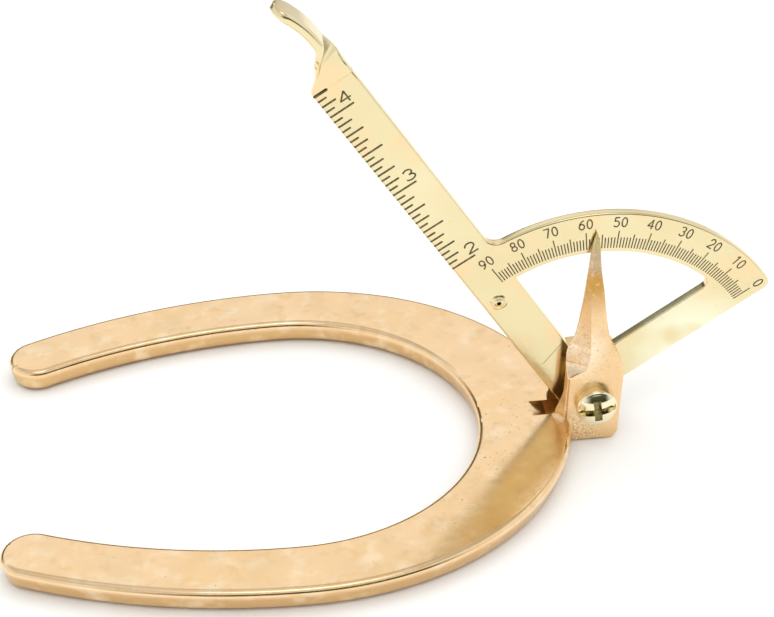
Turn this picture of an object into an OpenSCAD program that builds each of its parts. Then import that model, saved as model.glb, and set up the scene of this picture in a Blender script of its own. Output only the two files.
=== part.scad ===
// Hoof gauge: a horseshoe-shaped bronze plate with a forked pointer bracket at its toe,
// and a brass protractor arm with a ruler that swings in the fork about the pivot screw.
// Millimetres, +Z up. The origin lies on the plate's underside at the middle of the toe,
// +X points out of the toe, and the plate is symmetric about Y = 0.

/* [Shoe plate] */
// Thickness of the plate
shoe_t = 6.5; // [6:0.1:8]
// Outer width of the plate at its widest point
shoe_w = 116.8; // [100:0.2:140]
// Length of the outer toe curve, from the widest point to the toe
toe_len = 66.9; // [60:0.1:80]
// Width of the band at the toe
toe_w = 21.6; // [17:0.1:24]
// Width of the band at the plate's widest point
quarter_w = 14.4; // [12:0.1:18]
// Length of the inner toe curve, from the widest point of the gap to the toe
inner_toe_len = 47.4; // [44:0.1:54]
// Radius of the outer heel curve
heel_r = 158; // [130:1:190]
// Radius of the inner heel curve
inner_heel_r = 146; // [125:1:170]
// Distance from the widest point back to the middle of the rounded heel end
heel_len = 63.5; // [50:0.1:75]
// How far the two corners of a heel end are set askew along X
heel_skew = 3.3; // [1:0.1:4]
// Rounding of the upper edges
edge_r = 2; // [1:0.1:2.5]

/* [Pointer bracket] */
// Pivot axis ahead of the toe's outer edge
pivot_reach = 6; // [5.5:0.1:7]
// Pivot axis above the plate's upper face
pivot_rise = 4.7; // [4.2:0.1:6]
// Thickness of the front ear
front_ear_t = 3.2; // [2.5:0.1:5]
// Thickness of the rear ear
rear_ear_t = 4.2; // [3:0.1:6]
// Length of the ears ahead of the pivot axis
ear_front = 6.4; // [6.2:0.1:8]
// Length of the ears behind the pivot axis, at their outer faces
ear_back = 7.5; // [6.5:0.1:8.5]
// Lean of the ears towards +X
ear_lean = 3.2; // [0:0.1:6]
// How much further back the bracket's root reaches into the toe
root_flare = 2.3; // [1:0.1:4]
// Height of the front ear above the pivot axis
front_ear_h = 8; // [7:0.1:10]
// Height of the rear ear above the pivot axis
rear_ear_h = 11.3; // [9:0.1:13]
// Rounding of the ears' lower front corner and of the rear ear's top
ear_corner_r = 2.5; // [1:0.1:4]
// Radius of the saw cut that runs out on the toe
saw_r = 26; // [22:0.5:28]
// Depth of the saw cut below the pivot axis
saw_depth = 8; // [7.5:0.1:9]
// Middle of the saw cut behind the pivot axis
saw_back = 2; // [1:0.1:4]

/* [Pointer] */
// Height of the pointer's tip above the pivot axis
pointer_h = 46.5; // [43:0.5:49]
// Lean of the pointer, and turn of the scale that makes it read true
pointer_lean = 1.75; // [0:0.25:3]
// Gap between the pointer's tip and the arm
pointer_gap = 0.4; // [0.3:0.05:1]
// Setback of the pointer's rear face from the slot, where it grows out of the ear
pointer_set = 0.3; // [0.2:0.1:1]
// Thickness of the pointer at its tip
pointer_tip_t = 0.6; // [0.3:0.1:1.5]
// Half width of the pointer near its tip
pointer_tip_w = 0.5; // [0.3:0.1:1]
// Width of the pointer's front facet left of its axis, where it grows out of the ear
facet_w = 3.2; // [2:0.1:5]
// Width of the pointer's bevelled flank left of its axis, where it grows out of the ear
flank_w = 6.6; // [5.5:0.1:7.2]
// How fast the pointer's front narrows above the ear
pointer_taper = 2.2; // [1.2:0.1:2.5]

/* [Protractor arm] */
// Thickness of the sheet
arm_t = 2.4; // [1.5:0.1:3]
// Angle between the ruler and the plate as drawn
arm_angle = 57; // [40:1:80]
// Distance of the scale's centre from the pivot axis, across the ruler
scale_side = 0.6; // [0:0.05:1.5]
// Distance of the scale's centre from the pivot axis, down the ruler
scale_drop = 0.38; // [0:0.02:1]
// Width of the ruler
ruler_w = 10.6; // [9.6:0.1:12]
// Distance of the ruler's measuring edge from the scale's centre
ruler_offset = 8.9; // [8:0.1:9.5]
// Length of the ruler's measuring edge, from the scale's centre
ruler_len = 109.3; // [95:0.1:130]
// Outer radius of the scale's arc
arc_outer_r = 50.4; // [46:0.1:56]
// Inner radius of the scale's arc
arc_inner_r = 39.8; // [36:0.1:42]
// Distance of the limb's lower edge below the scale's centre
limb_below = 2.5; // [1:0.1:4]
// Width of the lower limb
limb_w = 10.05; // [8:0.05:12]
// Radius of the rounded pivot end
pivot_end_r = 7.2; // [6:0.1:8]
// Fillet between the ruler and the arc
arc_fillet_r = 3.5; // [1:0.1:6]
// Rounding of the arm's lower corner behind the pivot
pivot_corner_r = 4; // [3:0.1:5]
// Rounding of the arc's lower end
arm_corner_r = 2; // [0.5:0.1:3]

/* [Finger tab] */
// Width of the neck between the ruler and the tab
neck_w = 6; // [4.5:0.1:8]
// Length of the sloping shoulder beside the neck
shoulder_len = 5; // [3:0.1:8]
// Length of the twist
twist_len = 6; // [4:0.1:10]
// Width of the tab
tab_w = 7.8; // [6:0.1:10]
// Length of the tab after the twist, without its rounded end
tab_len = 8.5; // [6:0.1:14]
// Angle by which the tab curls back over the ruler's measuring edge
tab_curl = 22; // [5:1:40]

/* [Pivot screw, nut and washers] */
// Diameter of the screw
screw_d = 5; // [4:0.1:5.5]
// Diameter of the screw's head
head_d = 10.6; // [9:0.1:11.5]
// Height of the screw's head
head_h = 4; // [3:0.1:5]
// Height of the head's straight rim
head_rim = 2.2; // [1.6:0.1:2.6]
// Width of the driver slot
slot_w = 1.3; // [0.8:0.1:1.6]
// Depth of the driver slot
slot_depth = 1.5; // [1:0.1:1.8]
// Length of the cross recess
cross_len = 6; // [4:0.1:7]
// Depth of the cross recess
cross_depth = 2.3; // [1.9:0.1:2.8]
// Turn of the driver recess
recess_turn = 9; // [0:1:90]
// Length of thread that stands out of the nut
screw_tail = 1.5; // [0.5:0.1:4]
// Diameter of the friction and spring washers
washer_d = 12; // [10:0.1:13]
// Thickness of the friction washer
washer_t = 1.15; // [0.8:0.05:1.6]
// Height of the spring washer in place
spring_h = 2.05; // [1.6:0.05:2.4]
// Thickness of the spring washer's sheet
spring_t = 0.8; // [0.5:0.05:1.2]
// Width of the nut across its flats
nut_af = 8; // [7.5:0.1:10]
// Height of the nut
nut_h = 4; // [2.5:0.1:5]
// Diameter of the washer under the nut
nut_washer_d = 10; // [9.5:0.1:12]
// Thickness of the washer under the nut
nut_washer_t = 1; // [0.5:0.1:1.5]

/* [Stop rivet] */
// Distance of the rivet from the scale's centre, along the ruler
rivet_up = 36.4; // [30:0.1:38]
// Distance of the rivet from the scale's centre, towards the measuring edge
rivet_side = 5.1; // [4.5:0.1:6]
// Diameter of the rivet's shank
rivet_d = 2.4; // [1.5:0.1:3]
// Diameter of the rivet's domed heads
rivet_head_d = 4.3; // [3.6:0.1:5]
// Height of the rivet's domed heads
rivet_head_h = 0.9; // [0.5:0.1:1.2]
// Diameter of the punch mark in the front head
rivet_mark_d = 1.2; // [0.6:0.1:1.8]

/* [Clearances] */
// Radial clearance of the screw in the arm, the ears and the washers
run_gap = 0.05; // [0.02:0.01:0.1]
// Side clearance between the arm and the friction washer
side_gap = 0.05; // [0.02:0.01:0.1]
// Side clearance between the arm and the rear ear
rear_gap = 0.15; // [0.05:0.01:0.3]
// Clearance between the arm's lower end and the floor of the slot
floor_gap = 0.4; // [0.3:0.1:0.8]
// Clearance of the rivet's shank in the arm
rivet_gap = 0.01; // [0:0.01:0.05]

/* [Hidden] */
$fn = 96;
bronze = "#e6b585";
brass = "#eadf9f";
polished = "#e9e2c4";
// Overlap that keeps cuts and joined solids from ending on a shared face
overlap = 1;

// Place of the pivot axis
pivot_x = toe_w / 2 + pivot_reach;
pivot_z = shoe_t + pivot_rise;
// Faces across the bracket, from front to rear
washer_y = -arm_t / 2 - side_gap - washer_t;
slot_front_y = washer_y - spring_h;
slot_rear_y = arm_t / 2 + rear_gap;
front_y = slot_front_y - front_ear_t;
rear_y = slot_rear_y + rear_ear_t;
// Floor of the slot, from the pivot axis
slot_r = ruler_offset + floor_gap;
root_back = ear_back + root_flare;
bore_r = screw_d / 2 + run_gap;
// Scale's centre ahead of the pivot axis, at the arm's drawn angle
scale_ahead = scale_side * sin(arm_angle) + scale_drop * cos(arm_angle);

// Outline of the shoe plate: half ellipses at the toe, circle arcs along the heels
outer_x = toe_w / 2 - toe_len;
inner_x = -toe_w / 2 - inner_toe_len;
inner_half_w = shoe_w / 2 - quarter_w;
heel_x = outer_x - heel_len;
// Steps along each stretch of the outline; an odd number round the end pairs inner and outer points
toe_steps = 22;
heel_steps = 8;
end_steps = 11;
// Steps round the upper edges
edge_steps = 4;
function toe_point(x, a, b, angle) = [x + a * cos(angle), b * sin(angle)];
function heel_point(x, half_w, r, inset, at_x) =
    [at_x, half_w - r + sqrt(pow(r - inset, 2) - pow(x - at_x, 2))];
function between(from, to, steps) = [for (i = [1 : steps]) from + (to - from) * i / steps];
function heel_end(a, b) =
    let (mid = (a + b) / 2, start = atan2(a.y - mid.y, a.x - mid.x), r = norm(a - b) / 2)
    [for (angle = between(start, start + 180, end_steps)) mid + r * [cos(angle), sin(angle)]];
// One half of the outline, from the outer toe round the heel end to the inner toe
function half_outline(inset) =
    let (outer = [for (angle = concat([0], between(0, 90, toe_steps)))
            toe_point(outer_x, toe_len - inset, shoe_w / 2 - inset, angle)],
        outer_heel = [for (x = between(outer_x, heel_x - heel_skew, heel_steps))
            heel_point(outer_x, shoe_w / 2, heel_r, inset, x)],
        inner_heel = [for (x = concat([heel_x + heel_skew],
                between(heel_x + heel_skew, inner_x, heel_steps)))
            heel_point(inner_x, inner_half_w, inner_heel_r, -inset, x)],
        inner = [for (angle = between(90, 0, toe_steps))
            toe_point(inner_x, inner_toe_len + inset, inner_half_w + inset, angle)],
        end = heel_end(outer_heel[heel_steps - 1], inner_heel[0]))
    concat(outer, outer_heel, [for (i = [0 : end_steps - 2]) end[i]], inner_heel, inner);

// Closed solid through rings of equally many points, each listed the same way round
module loft(rings) {
    count = len(rings[0]);
    last = (len(rings) - 1) * count;
    sides = [for (low = [0 : count : last - count], j = [0 : count - 1])
        let (k = (j + 1) % count, high = low + count)
        each [[low + j, high + j, high + k], [low + j, high + k, low + k]]];
    ends = [for (k = [0 : count / 2 - 2])
        let (a = k, b = k + 1, c = count - 2 - k, d = count - 1 - k)
        each [[a, b, d], [b, c, d], [last + d, last + b, last + a], [last + d, last + c, last + b]]];
    polyhedron([for (ring = rings) each ring], concat(sides, ends));
}

// Plate as a run of sections across its band, from one heel end round the toe to the other
module rounded_plate() {
    angles = concat([0], between(0, 90, edge_steps));
    outlines = concat([half_outline(0)], [for (a = angles) half_outline(edge_r * (1 - cos(a)))]);
    heights = concat([0], [for (a = angles) shoe_t - edge_r * (1 - sin(a))]);
    top = edge_steps + 1;
    far = len(outlines[0]) - 1;
    last = (far - 1) / 2;
    function at(level, i, side) = [outlines[level][i].x, side * outlines[level][i].y, heights[level]];
    function section(i, side) = concat([for (level = [0 : top]) at(level, i, side)],
        [for (level = [top : -1 : 0]) at(level, far - i, side)]);
    loft(concat([for (i = [last : -1 : 0]) section(i, 1)], [for (i = [1 : last]) section(i, -1)]));
}

// Turns a drawing of X and Z, drawn about the pivot axis, into a solid between two Y values
module across(from_y, to_y) {
    translate([pivot_x, to_y, pivot_z])
        rotate([90, 0, 0])
            linear_extrude(to_y - from_y)
                children();
}

// Turned solid on the pivot axis, from a profile of radius and distance towards the rear
module turned_at(y) {
    translate([pivot_x, y, pivot_z])
        rotate([-90, 0, 0])
            rotate_extrude()
                children();
}

// Cylinder on the pivot axis between two Y values
module pivot_cylinder(r, from_y, to_y) {
    translate([pivot_x, from_y, pivot_z])
        rotate([-90, 0, 0])
            cylinder(h = to_y - from_y, r = r);
}

// Material outside a rounded lower right corner at the origin
module corner_waste(r) {
    difference() {
        translate([-r, -overlap])
            square([r + overlap, r + overlap]);
        translate([-r, r])
            circle(r);
    }
}

// Side view of the slot: round floor below the pivot, and the saw cut that runs out on the toe
module slot_profile() {
    circle(slot_r);
    translate([-saw_back, saw_r - saw_depth])
        circle(saw_r);
}

module slot_cut() {
    across(slot_front_y, slot_rear_y)
        slot_profile();
}

// Plan of the bracket at a height over the pivot axis: wider at its root, and moved by its lean
bracket_plan = [[-ear_back, front_y], [ear_front, front_y], [ear_front, rear_y], [-ear_back, rear_y],
    [-root_back, slot_rear_y], [-root_back, slot_front_y]];
function lean_at(z) = z * tan(ear_lean);
function plan_ring(z) = [for (p = bracket_plan) [pivot_x + p.x + lean_at(z), p.y, pivot_z + z]];
module bracket_prism(from_z, to_z) {
    loft([plan_ring(from_z), plan_ring(to_z)]);
}

// Flat horseshoe-shaped plate, notched at the toe for the bracket
module shoe_plate() {
    color(bronze)
        difference() {
            rounded_plate();
            bracket_prism(-pivot_z - overlap, -pivot_rise + overlap);
            slot_cut();
        }
}

// Rear ear above the height of the front one
module rear_ear_top() {
    left = lean_at(rear_ear_h) - ear_back;
    right = lean_at(rear_ear_h) + ear_front;
    low = front_ear_h - overlap;
    intersection() {
        bracket_prism(low, rear_ear_h);
        across(slot_rear_y, rear_y + overlap)
            difference() {
                translate([left, low])
                    square([right - left, rear_ear_h - low]);
                translate([right, rear_ear_h])
                    mirror([0, 1])
                        corner_waste(ear_corner_r);
                translate([left, rear_ear_h])
                    rotate(180)
                        corner_waste(ear_corner_r);
            }
    }
}

// Section of the pointer at a share of its height: bevelled on the left, square on the right
pointer_steps = 8;
flank_taper = 0.85;
// Width of the very tip, as a share of the width just below it
tip_share = 0.3;
pointer_root = front_ear_h - overlap;
function pointer_axis(z) = scale_ahead - z * tan(pointer_lean);
pointer_w = ear_front + lean_at(pointer_root) - pointer_axis(pointer_root);
function pointer_ring(share) =
    let (z = pointer_root + (pointer_h - pointer_root) * share,
        narrow = pow(1 - share, pointer_taper),
        axis = pointer_axis(z),
        point = share == 1 ? tip_share : 1,
        left = axis - pointer_tip_w * point - (flank_w - pointer_tip_w) * pow(1 - share, flank_taper),
        ridge = axis - point * (pointer_tip_w + (facet_w - pointer_tip_w) * narrow),
        right = axis + point * (pointer_tip_w + (pointer_w - pointer_tip_w) * narrow),
        root_rear = slot_front_y - pointer_set,
        rear = root_rear + (-arm_t / 2 - pointer_gap - root_rear) * share,
        front = front_y + (-arm_t / 2 - pointer_gap - pointer_tip_t - front_y) * share)
    [[ridge, front, z], [right, front, z], [right, rear, z], [left, rear, z]];
module pointer() {
    translate([pivot_x, 0, pivot_z])
        loft([for (i = [0 : pointer_steps]) pointer_ring(i / pointer_steps)]);
}

// Both ears and the web under the slot, up to the height of the front ear
module fork_block() {
    intersection() {
        bracket_prism(-pivot_z, front_ear_h);
        across(front_y - overlap, rear_y + overlap)
            difference() {
                translate([lean_at(-pivot_z) - root_back - overlap, -pivot_z])
                    square([root_back + 2 * ear_front, pivot_z + front_ear_h]);
                translate([ear_front + lean_at(-pivot_z), -pivot_z])
                    corner_waste(ear_corner_r);
            }
    }
}

// Forked bracket: two ears on a web, the front one drawn out into the pointer
module pointer_bracket() {
    color(bronze) {
        difference() {
            union() {
                fork_block();
                rear_ear_top();
            }
            slot_cut();
            pivot_cylinder(bore_r, front_y - overlap, rear_y + overlap);
        }
        pointer();
    }
}

// Outline of the arm about the scale's centre, with the ruler upright along +Y
ruler_right = ruler_w - ruler_offset;
neck_left = ruler_right - neck_w;
neck_top = ruler_len + shoulder_len;
module ruler_outline() {
    difference() {
        polygon([[-ruler_offset, -limb_below], [ruler_right, -limb_below], [ruler_right, neck_top],
            [neck_left, neck_top], [-ruler_offset, ruler_len]]);
        translate([-ruler_offset, -limb_below])
            mirror([1, 0])
                corner_waste(pivot_corner_r);
    }
}

// Arc and lower limb, in the frame of the scale
module scale_outline() {
    end_y = arm_corner_r - limb_below;
    end_x = sqrt(pow(arc_outer_r - arm_corner_r, 2) - pow(end_y, 2));
    difference() {
        intersection() {
            circle(arc_outer_r);
            translate([0, -limb_below])
                square(arc_outer_r + limb_below);
        }
        intersection() {
            circle(arc_inner_r);
            translate([-overlap, limb_w - limb_below])
                square(arc_inner_r + overlap);
        }
        translate([end_x + arm_corner_r, -limb_below])
            corner_waste(arm_corner_r);
    }
}

// Fillet between the ruler's right edge and the outside of the arc
module arc_fillet() {
    mid_x = ruler_right + arc_fillet_r;
    reach = arc_outer_r + arc_fillet_r;
    mid_y = sqrt(pow(reach, 2) - pow(mid_x, 2));
    touch = [mid_x, mid_y] * arc_outer_r / reach;
    difference() {
        polygon([[ruler_right - overlap, mid_y], [ruler_right, mid_y], [mid_x, mid_y], touch,
            [touch.x, touch.y - overlap], [ruler_right - overlap, arc_outer_r - arc_fillet_r]]);
        translate([mid_x, mid_y])
            circle(arc_fillet_r);
    }
}

module arm_outline() {
    difference() {
        union() {
            ruler_outline();
            difference() {
                rotate(pointer_lean)
                    scale_outline();
                translate([-arc_outer_r, -arc_outer_r])
                    square([arc_outer_r - ruler_offset, 2 * arc_outer_r]);
            }
            translate([-scale_side, scale_drop])
                circle(pivot_end_r);
            arc_fillet();
        }
        translate([-scale_side, scale_drop])
            circle(bore_r);
        translate([-rivet_side, rivet_up])
            circle(rivet_d / 2 + rivet_gap);
    }
}

// Sections of the finger tab: the strip twists by a quarter turn, curls and ends in a round
tab_inset = 0.02;
tab_chamfer = 0.4;
twist_steps = 8;
curl_steps = 5;
round_steps = 5;
// Angle at which the rounded end is closed by a small flat
round_end = 80;
curl_r = tab_len / (tab_curl * PI / 180);
tab_start = neck_top - overlap;
tab_mid = ruler_right - neck_w / 2;
function ease(s) = s * s * (3 - 2 * s);
function strip_section(w, t) =
    let (x = w / 2, y = t / 2, c = tab_chamfer)
    [[c - x, -y], [x - c, -y], [x, c - y], [x, y - c], [x - c, y], [c - x, y], [-x, y - c], [-x, c - y]];
// Ring with its middle at mid, its strip w wide, twisted about the path and turned by the curl
function strip_ring(mid, w, twist, turn) =
    let (side = [cos(turn), 0, sin(turn)],
        wide = side * cos(twist) + [0, 1, 0] * sin(twist),
        deep = [0, 1, 0] * cos(twist) - side * sin(twist))
    [for (p = strip_section(w, arm_t - 2 * tab_inset)) [mid.x, 0, mid.y] + wide * p.x + deep * p.y];
function curl_point(turn) =
    [tab_mid - curl_r * (1 - cos(turn)), tab_start + twist_len + curl_r * sin(turn)];
module finger_tab() {
    twisted = [for (i = [0 : twist_steps])
        let (s = i / twist_steps)
        strip_ring([tab_mid, tab_start + twist_len * s],
            neck_w - 2 * tab_inset + (tab_w - neck_w) * ease(s), 90 * ease(s), 0)];
    curled = [for (i = [1 : curl_steps])
        let (turn = tab_curl * i / curl_steps)
        strip_ring(curl_point(turn), tab_w, 90, turn)];
    along = [-sin(tab_curl), cos(tab_curl)];
    rounded = [for (i = [1 : round_steps])
        let (angle = round_end * i / round_steps)
        strip_ring(curl_point(tab_curl) + along * sin(angle) * tab_w / 2, tab_w * cos(angle), 90, tab_curl)];
    loft(concat(twisted, curled, rounded));
}

// Puts the arm, drawn upright about the scale's centre, at its angle in the fork
module at_arm() {
    translate([pivot_x, 0, pivot_z])
        rotate([0, arm_angle - 90, 0])
            translate([scale_side, 0, -scale_drop])
                children();
}

// Ruler, scale and finger tab in one sheet
module protractor_arm() {
    color(brass)
        at_arm() {
            translate([0, arm_t / 2, 0])
                rotate([90, 0, 0])
                    linear_extrude(arm_t)
                        arm_outline();
            finger_tab();
        }
}

// Domed cap on a turned profile, standing on the X axis
module dome_profile(d, h) {
    r = (d * d / 4 + h * h) / (2 * h);
    intersection() {
        square([d / 2, h]);
        translate([0, h - r])
            circle(r);
    }
}

// Rivet with a domed head on each face of the ruler and a punch mark in the front one
module stop_rivet() {
    color(brass)
        at_arm()
            translate([-rivet_side, 0, rivet_up])
                rotate([90, 0, 0])
                    difference() {
                        rotate_extrude() {
                            translate([0, -arm_t / 2 - rivet_head_h / 2])
                                square([rivet_d / 2, arm_t + rivet_head_h]);
                            translate([0, arm_t / 2])
                                dome_profile(rivet_head_d, rivet_head_h);
                            translate([0, -arm_t / 2])
                                mirror([0, 1])
                                    dome_profile(rivet_head_d, rivet_head_h);
                        }
                        translate([0, 0, arm_t / 2 + rivet_head_h])
                            sphere(d = rivet_mark_d);
                    }
}

// Driver recess: a slot right across the head and a cross in its middle
module driver_recess() {
    translate([pivot_x, front_y - head_h, pivot_z])
        rotate([0, -recess_turn, 0]) {
            translate([-head_d / 2 - overlap, -overlap, -slot_w / 2])
                cube([head_d + 2 * overlap, slot_depth + overlap, slot_w]);
            for (turn = [0, 90])
                rotate([0, turn, 0])
                    translate([-cross_len / 2, -overlap, -slot_w / 2])
                        cube([cross_len, cross_depth + overlap, slot_w]);
        }
}

// Pan-head screw through both ears
module pivot_screw() {
    end_y = rear_y + nut_washer_t + nut_h + screw_tail;
    rim_drop = head_h - head_rim;
    crown_r = (head_d * head_d / 4 + rim_drop * rim_drop) / (2 * rim_drop);
    color(polished)
        difference() {
            union() {
                turned_at(front_y)
                    mirror([0, 1])
                        intersection() {
                            square([head_d / 2, head_h]);
                            translate([0, head_h - crown_r])
                                circle(crown_r);
                        }
                pivot_cylinder(screw_d / 2, front_y - overlap, end_y);
            }
            driver_recess();
        }
}

module flat_ring(d, from_y, to_y) {
    difference() {
        pivot_cylinder(d / 2, from_y, to_y);
        pivot_cylinder(bore_r, from_y - overlap, to_y + overlap);
    }
}

// Friction washer in front of the arm
module front_washer() {
    color(polished)
        flat_ring(washer_d, washer_y, washer_y + washer_t);
}

// Coned washer that presses the friction washer and the arm back from the front ear
module spring_washer() {
    rise = spring_h - spring_t;
    color(polished)
        turned_at(slot_front_y)
            polygon([[bore_r, 0], [washer_d / 2, rise], [washer_d / 2, spring_h], [bore_r, spring_t]]);
}

// Flat washer behind the rear ear
module nut_washer() {
    color(polished)
        flat_ring(nut_washer_d, rear_y, rear_y + nut_washer_t);
}

// Hexagon nut with turned corners, which begin at this share of its height
nut_crown = 0.8;
module pivot_nut() {
    from_y = rear_y + nut_washer_t;
    corner_r = nut_af / sqrt(3);
    color(polished)
        difference() {
            intersection() {
                translate([pivot_x, from_y, pivot_z])
                    rotate([-90, 0, 0])
                        cylinder(h = nut_h, r = corner_r, $fn = 6);
                turned_at(from_y)
                    polygon([[0, 0], [corner_r, 0], [corner_r, nut_h * nut_crown], [nut_af / 2, nut_h],
                        [0, nut_h]]);
            }
            pivot_cylinder(bore_r, from_y - overlap, from_y + nut_h + overlap);
        }
}

shoe_plate();
pointer_bracket();
protractor_arm();
stop_rivet();
pivot_screw();
front_washer();
spring_washer();
nut_washer();
pivot_nut();
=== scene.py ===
"""Looks of a hoof gauge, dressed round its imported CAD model.

Sizes are millimetres in the CAD frame: the origin lies on the plate's underside at the middle of
the toe, +X points out of the toe and +Z up. Meshes are written in metres.
"""

import logging
import math
from dataclasses import dataclass
from enum import Enum

import bpy
import numpy as np
from mathutils import Matrix


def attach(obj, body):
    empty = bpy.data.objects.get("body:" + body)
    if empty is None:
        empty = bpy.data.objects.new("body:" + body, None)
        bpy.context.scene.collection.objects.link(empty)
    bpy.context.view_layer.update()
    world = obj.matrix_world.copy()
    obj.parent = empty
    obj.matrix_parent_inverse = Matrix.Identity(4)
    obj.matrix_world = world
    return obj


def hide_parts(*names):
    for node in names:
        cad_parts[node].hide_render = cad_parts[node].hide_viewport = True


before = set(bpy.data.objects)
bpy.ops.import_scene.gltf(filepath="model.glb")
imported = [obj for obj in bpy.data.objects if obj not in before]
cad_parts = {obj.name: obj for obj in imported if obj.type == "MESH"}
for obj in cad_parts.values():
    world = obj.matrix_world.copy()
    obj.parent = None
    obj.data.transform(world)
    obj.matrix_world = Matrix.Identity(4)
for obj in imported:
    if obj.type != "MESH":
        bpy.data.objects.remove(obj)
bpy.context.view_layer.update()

LOG = logging.getLogger("hoof_gauge")
MM = 0.001
Array = np.ndarray
Socket = bpy.types.NodeSocket
Tint = tuple[float, float, float]
Point = tuple[float, float, float]
Track = tuple[tuple[float, float], ...]


class Body(Enum):
    """Rigid bodies of the gauge."""

    BASE = "base"
    ARM = "arm"


class Slot(Enum):
    """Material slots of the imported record."""

    BRONZE = "bronze"
    BRASS = "brass"
    POLISHED = "polished"


@dataclass(frozen=True)
class Surface:
    """Points of a closed surface in millimetres, and its polygons in groups of equal corner count."""

    points: Array
    faces: tuple[Array, ...]

    def volume(self) -> float:
        """Signed volume by fans of tetrahedra to the origin, positive when the faces point outwards."""
        total = 0.0
        for group in self.faces:
            first = self.points[group[:, 0]][:, None]
            second = self.points[group[:, 1:-1]]
            third = self.points[group[:, 2:]]
            total += float((first * np.cross(second, third)).sum()) / 6
        return total

    def outward(self) -> "Surface":
        """The same surface with its faces turned outwards."""
        if self.volume() >= 0:
            return self
        return Surface(self.points, tuple(group[:, ::-1] for group in self.faces))

    def moved(self, place: "Placement") -> "Surface":
        """The surface carried into the CAD frame by a placement."""
        return Surface(place.to_frame(self.points), self.faces)


def joined(surfaces: list[Surface]) -> Surface:
    """Collects several surfaces into one.

    Args:
        surfaces: Surfaces that each point outwards.

    Returns:
        One surface with all their points and faces.
    """
    starts = np.cumsum([0] + [len(s.points) for s in surfaces[:-1]])
    groups = [g + start for s, start in zip(surfaces, starts) for g in s.faces]
    return Surface(np.concatenate([s.points for s in surfaces]), tuple(groups))


@dataclass(frozen=True)
class Placement:
    """A turn about +Y in radians followed by a shift in millimetres."""

    shift: Point
    turn: float = 0.0

    def to_frame(self, points: Array) -> Array:
        """Turns by the right-hand rule about +Y: x' = x cos + z sin, z' = z cos - x sin, then shifts."""
        c, s = math.cos(self.turn), math.sin(self.turn)
        x, y, z = np.moveaxis(points, -1, 0)
        return np.stack([x * c + z * s, y, z * c - x * s], axis=-1) + np.array(self.shift)


def grid_faces(rows: int, columns: int) -> Array:
    """Quads of a grid of points stored row by row, whose last column joins the first.

    Args:
        rows: Number of rows.
        columns: Points in a row.

    Returns:
        Corner indices, one quad per cell.
    """
    row = np.arange(rows - 1)[:, None] * columns
    column = np.arange(columns)
    here = row + column
    beside = row + (column + 1) % columns
    return np.stack([here, beside, beside + columns, here + columns], axis=-1).reshape(-1, 4)


def tube(rings: Array) -> Surface:
    """Surface through rings of points, with a polygon closing each end.

    Args:
        rings: Points by ring, place in the ring and coordinate.

    Returns:
        A closed surface that points outwards.
    """
    rows, columns = rings.shape[:2]
    ring = np.arange(columns)
    ends = np.stack([ring[::-1], ring + (rows - 1) * columns])
    return Surface(rings.reshape(-1, 3), (grid_faces(rows, columns), ends)).outward()


def full_turn(steps: int) -> Array:
    """Even angles once round, in radians."""
    return np.linspace(0, 2 * np.pi, steps, endpoint=False)


def round_axis(radius: Array, height: Array, angle: Array) -> Array:
    """Points (r cos a, h, r sin a) about the Y axis, by row and angle."""
    return np.stack(np.broadcast_arrays(radius * np.cos(angle), height, radius * np.sin(angle)), axis=-1)


def turned_solid(radius: Array, height: Array, angle: Array) -> Surface:
    """Surface about the Y axis from pole to pole, whose radius may differ from angle to angle.

    Args:
        radius: Radius by row and angle, or by row in one column; the first and last row are poles.
        height: Height by row and angle, or by row in one column.
        angle: Angles round the axis, in radians.

    Returns:
        A closed surface that points outwards.
    """
    points = round_axis(radius, height, angle)
    rows, columns = points.shape[:2]
    inner = points[1:-1].reshape(-1, 3)
    near = np.arange(columns)
    after = (near + 1) % columns
    end = (rows - 3) * columns
    first, last = np.full(columns, len(inner)), np.full(columns, len(inner) + 1)
    caps = np.stack([first, after, near], -1), np.stack([last, near + end, after + end], -1)
    quads = grid_faces(rows - 2, columns)
    return Surface(np.concatenate([inner, points[[0, -1], 0]]), (quads, np.concatenate(caps))).outward()


def turned_ring(radius: Array, height: Array, angle: Array) -> Surface:
    """Ring about the Y axis from a closed profile, whose radius may differ from angle to angle.

    Args:
        radius: Radius by profile point and angle, or by profile point in one column.
        height: Height by profile point in one column.
        angle: Angles round the axis, in radians.

    Returns:
        A closed surface that points outwards.
    """
    points = round_axis(radius, height, angle)
    rows, columns = points.shape[:2]
    quads = grid_faces(rows + 1, columns) % (rows * columns)
    return Surface(points.reshape(-1, 3), (quads,)).outward()


def softened(corners: Array, radius: Array | float, steps: int) -> Array:
    """Rounds the corners of closed outlines.

    Each corner becomes a parabola: from a point short of the corner, drawn towards the corner, to a point
    past it, with weights (1-t)^2, 2t(1-t) and t^2.

    Args:
        corners: Corner points; the last two axes are corner and coordinate.
        radius: How far short of each corner the rounding begins, at most just under half an edge.
        steps: Points per corner.

    Returns:
        Outline points, with the same leading axes.
    """
    under_half = 0.49
    back = np.roll(corners, 1, axis=-2) - corners
    ahead = np.roll(corners, -1, axis=-2) - corners
    back_length = np.linalg.norm(back, axis=-1)
    ahead_length = np.linalg.norm(ahead, axis=-1)
    half = under_half * np.minimum(back_length, ahead_length)
    reach = np.minimum(np.broadcast_to(radius, half.shape), half)
    start = (corners + back * (reach / back_length)[..., None])[..., None, :]
    end = (corners + ahead * (reach / ahead_length)[..., None])[..., None, :]
    t = np.linspace(0, 1, steps)[:, None]
    parts = (1 - t) ** 2 * start + 2 * t * (1 - t) * corners[..., None, :] + t**2 * end
    return parts.reshape(*corners.shape[:-2], -1, corners.shape[-1])


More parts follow.
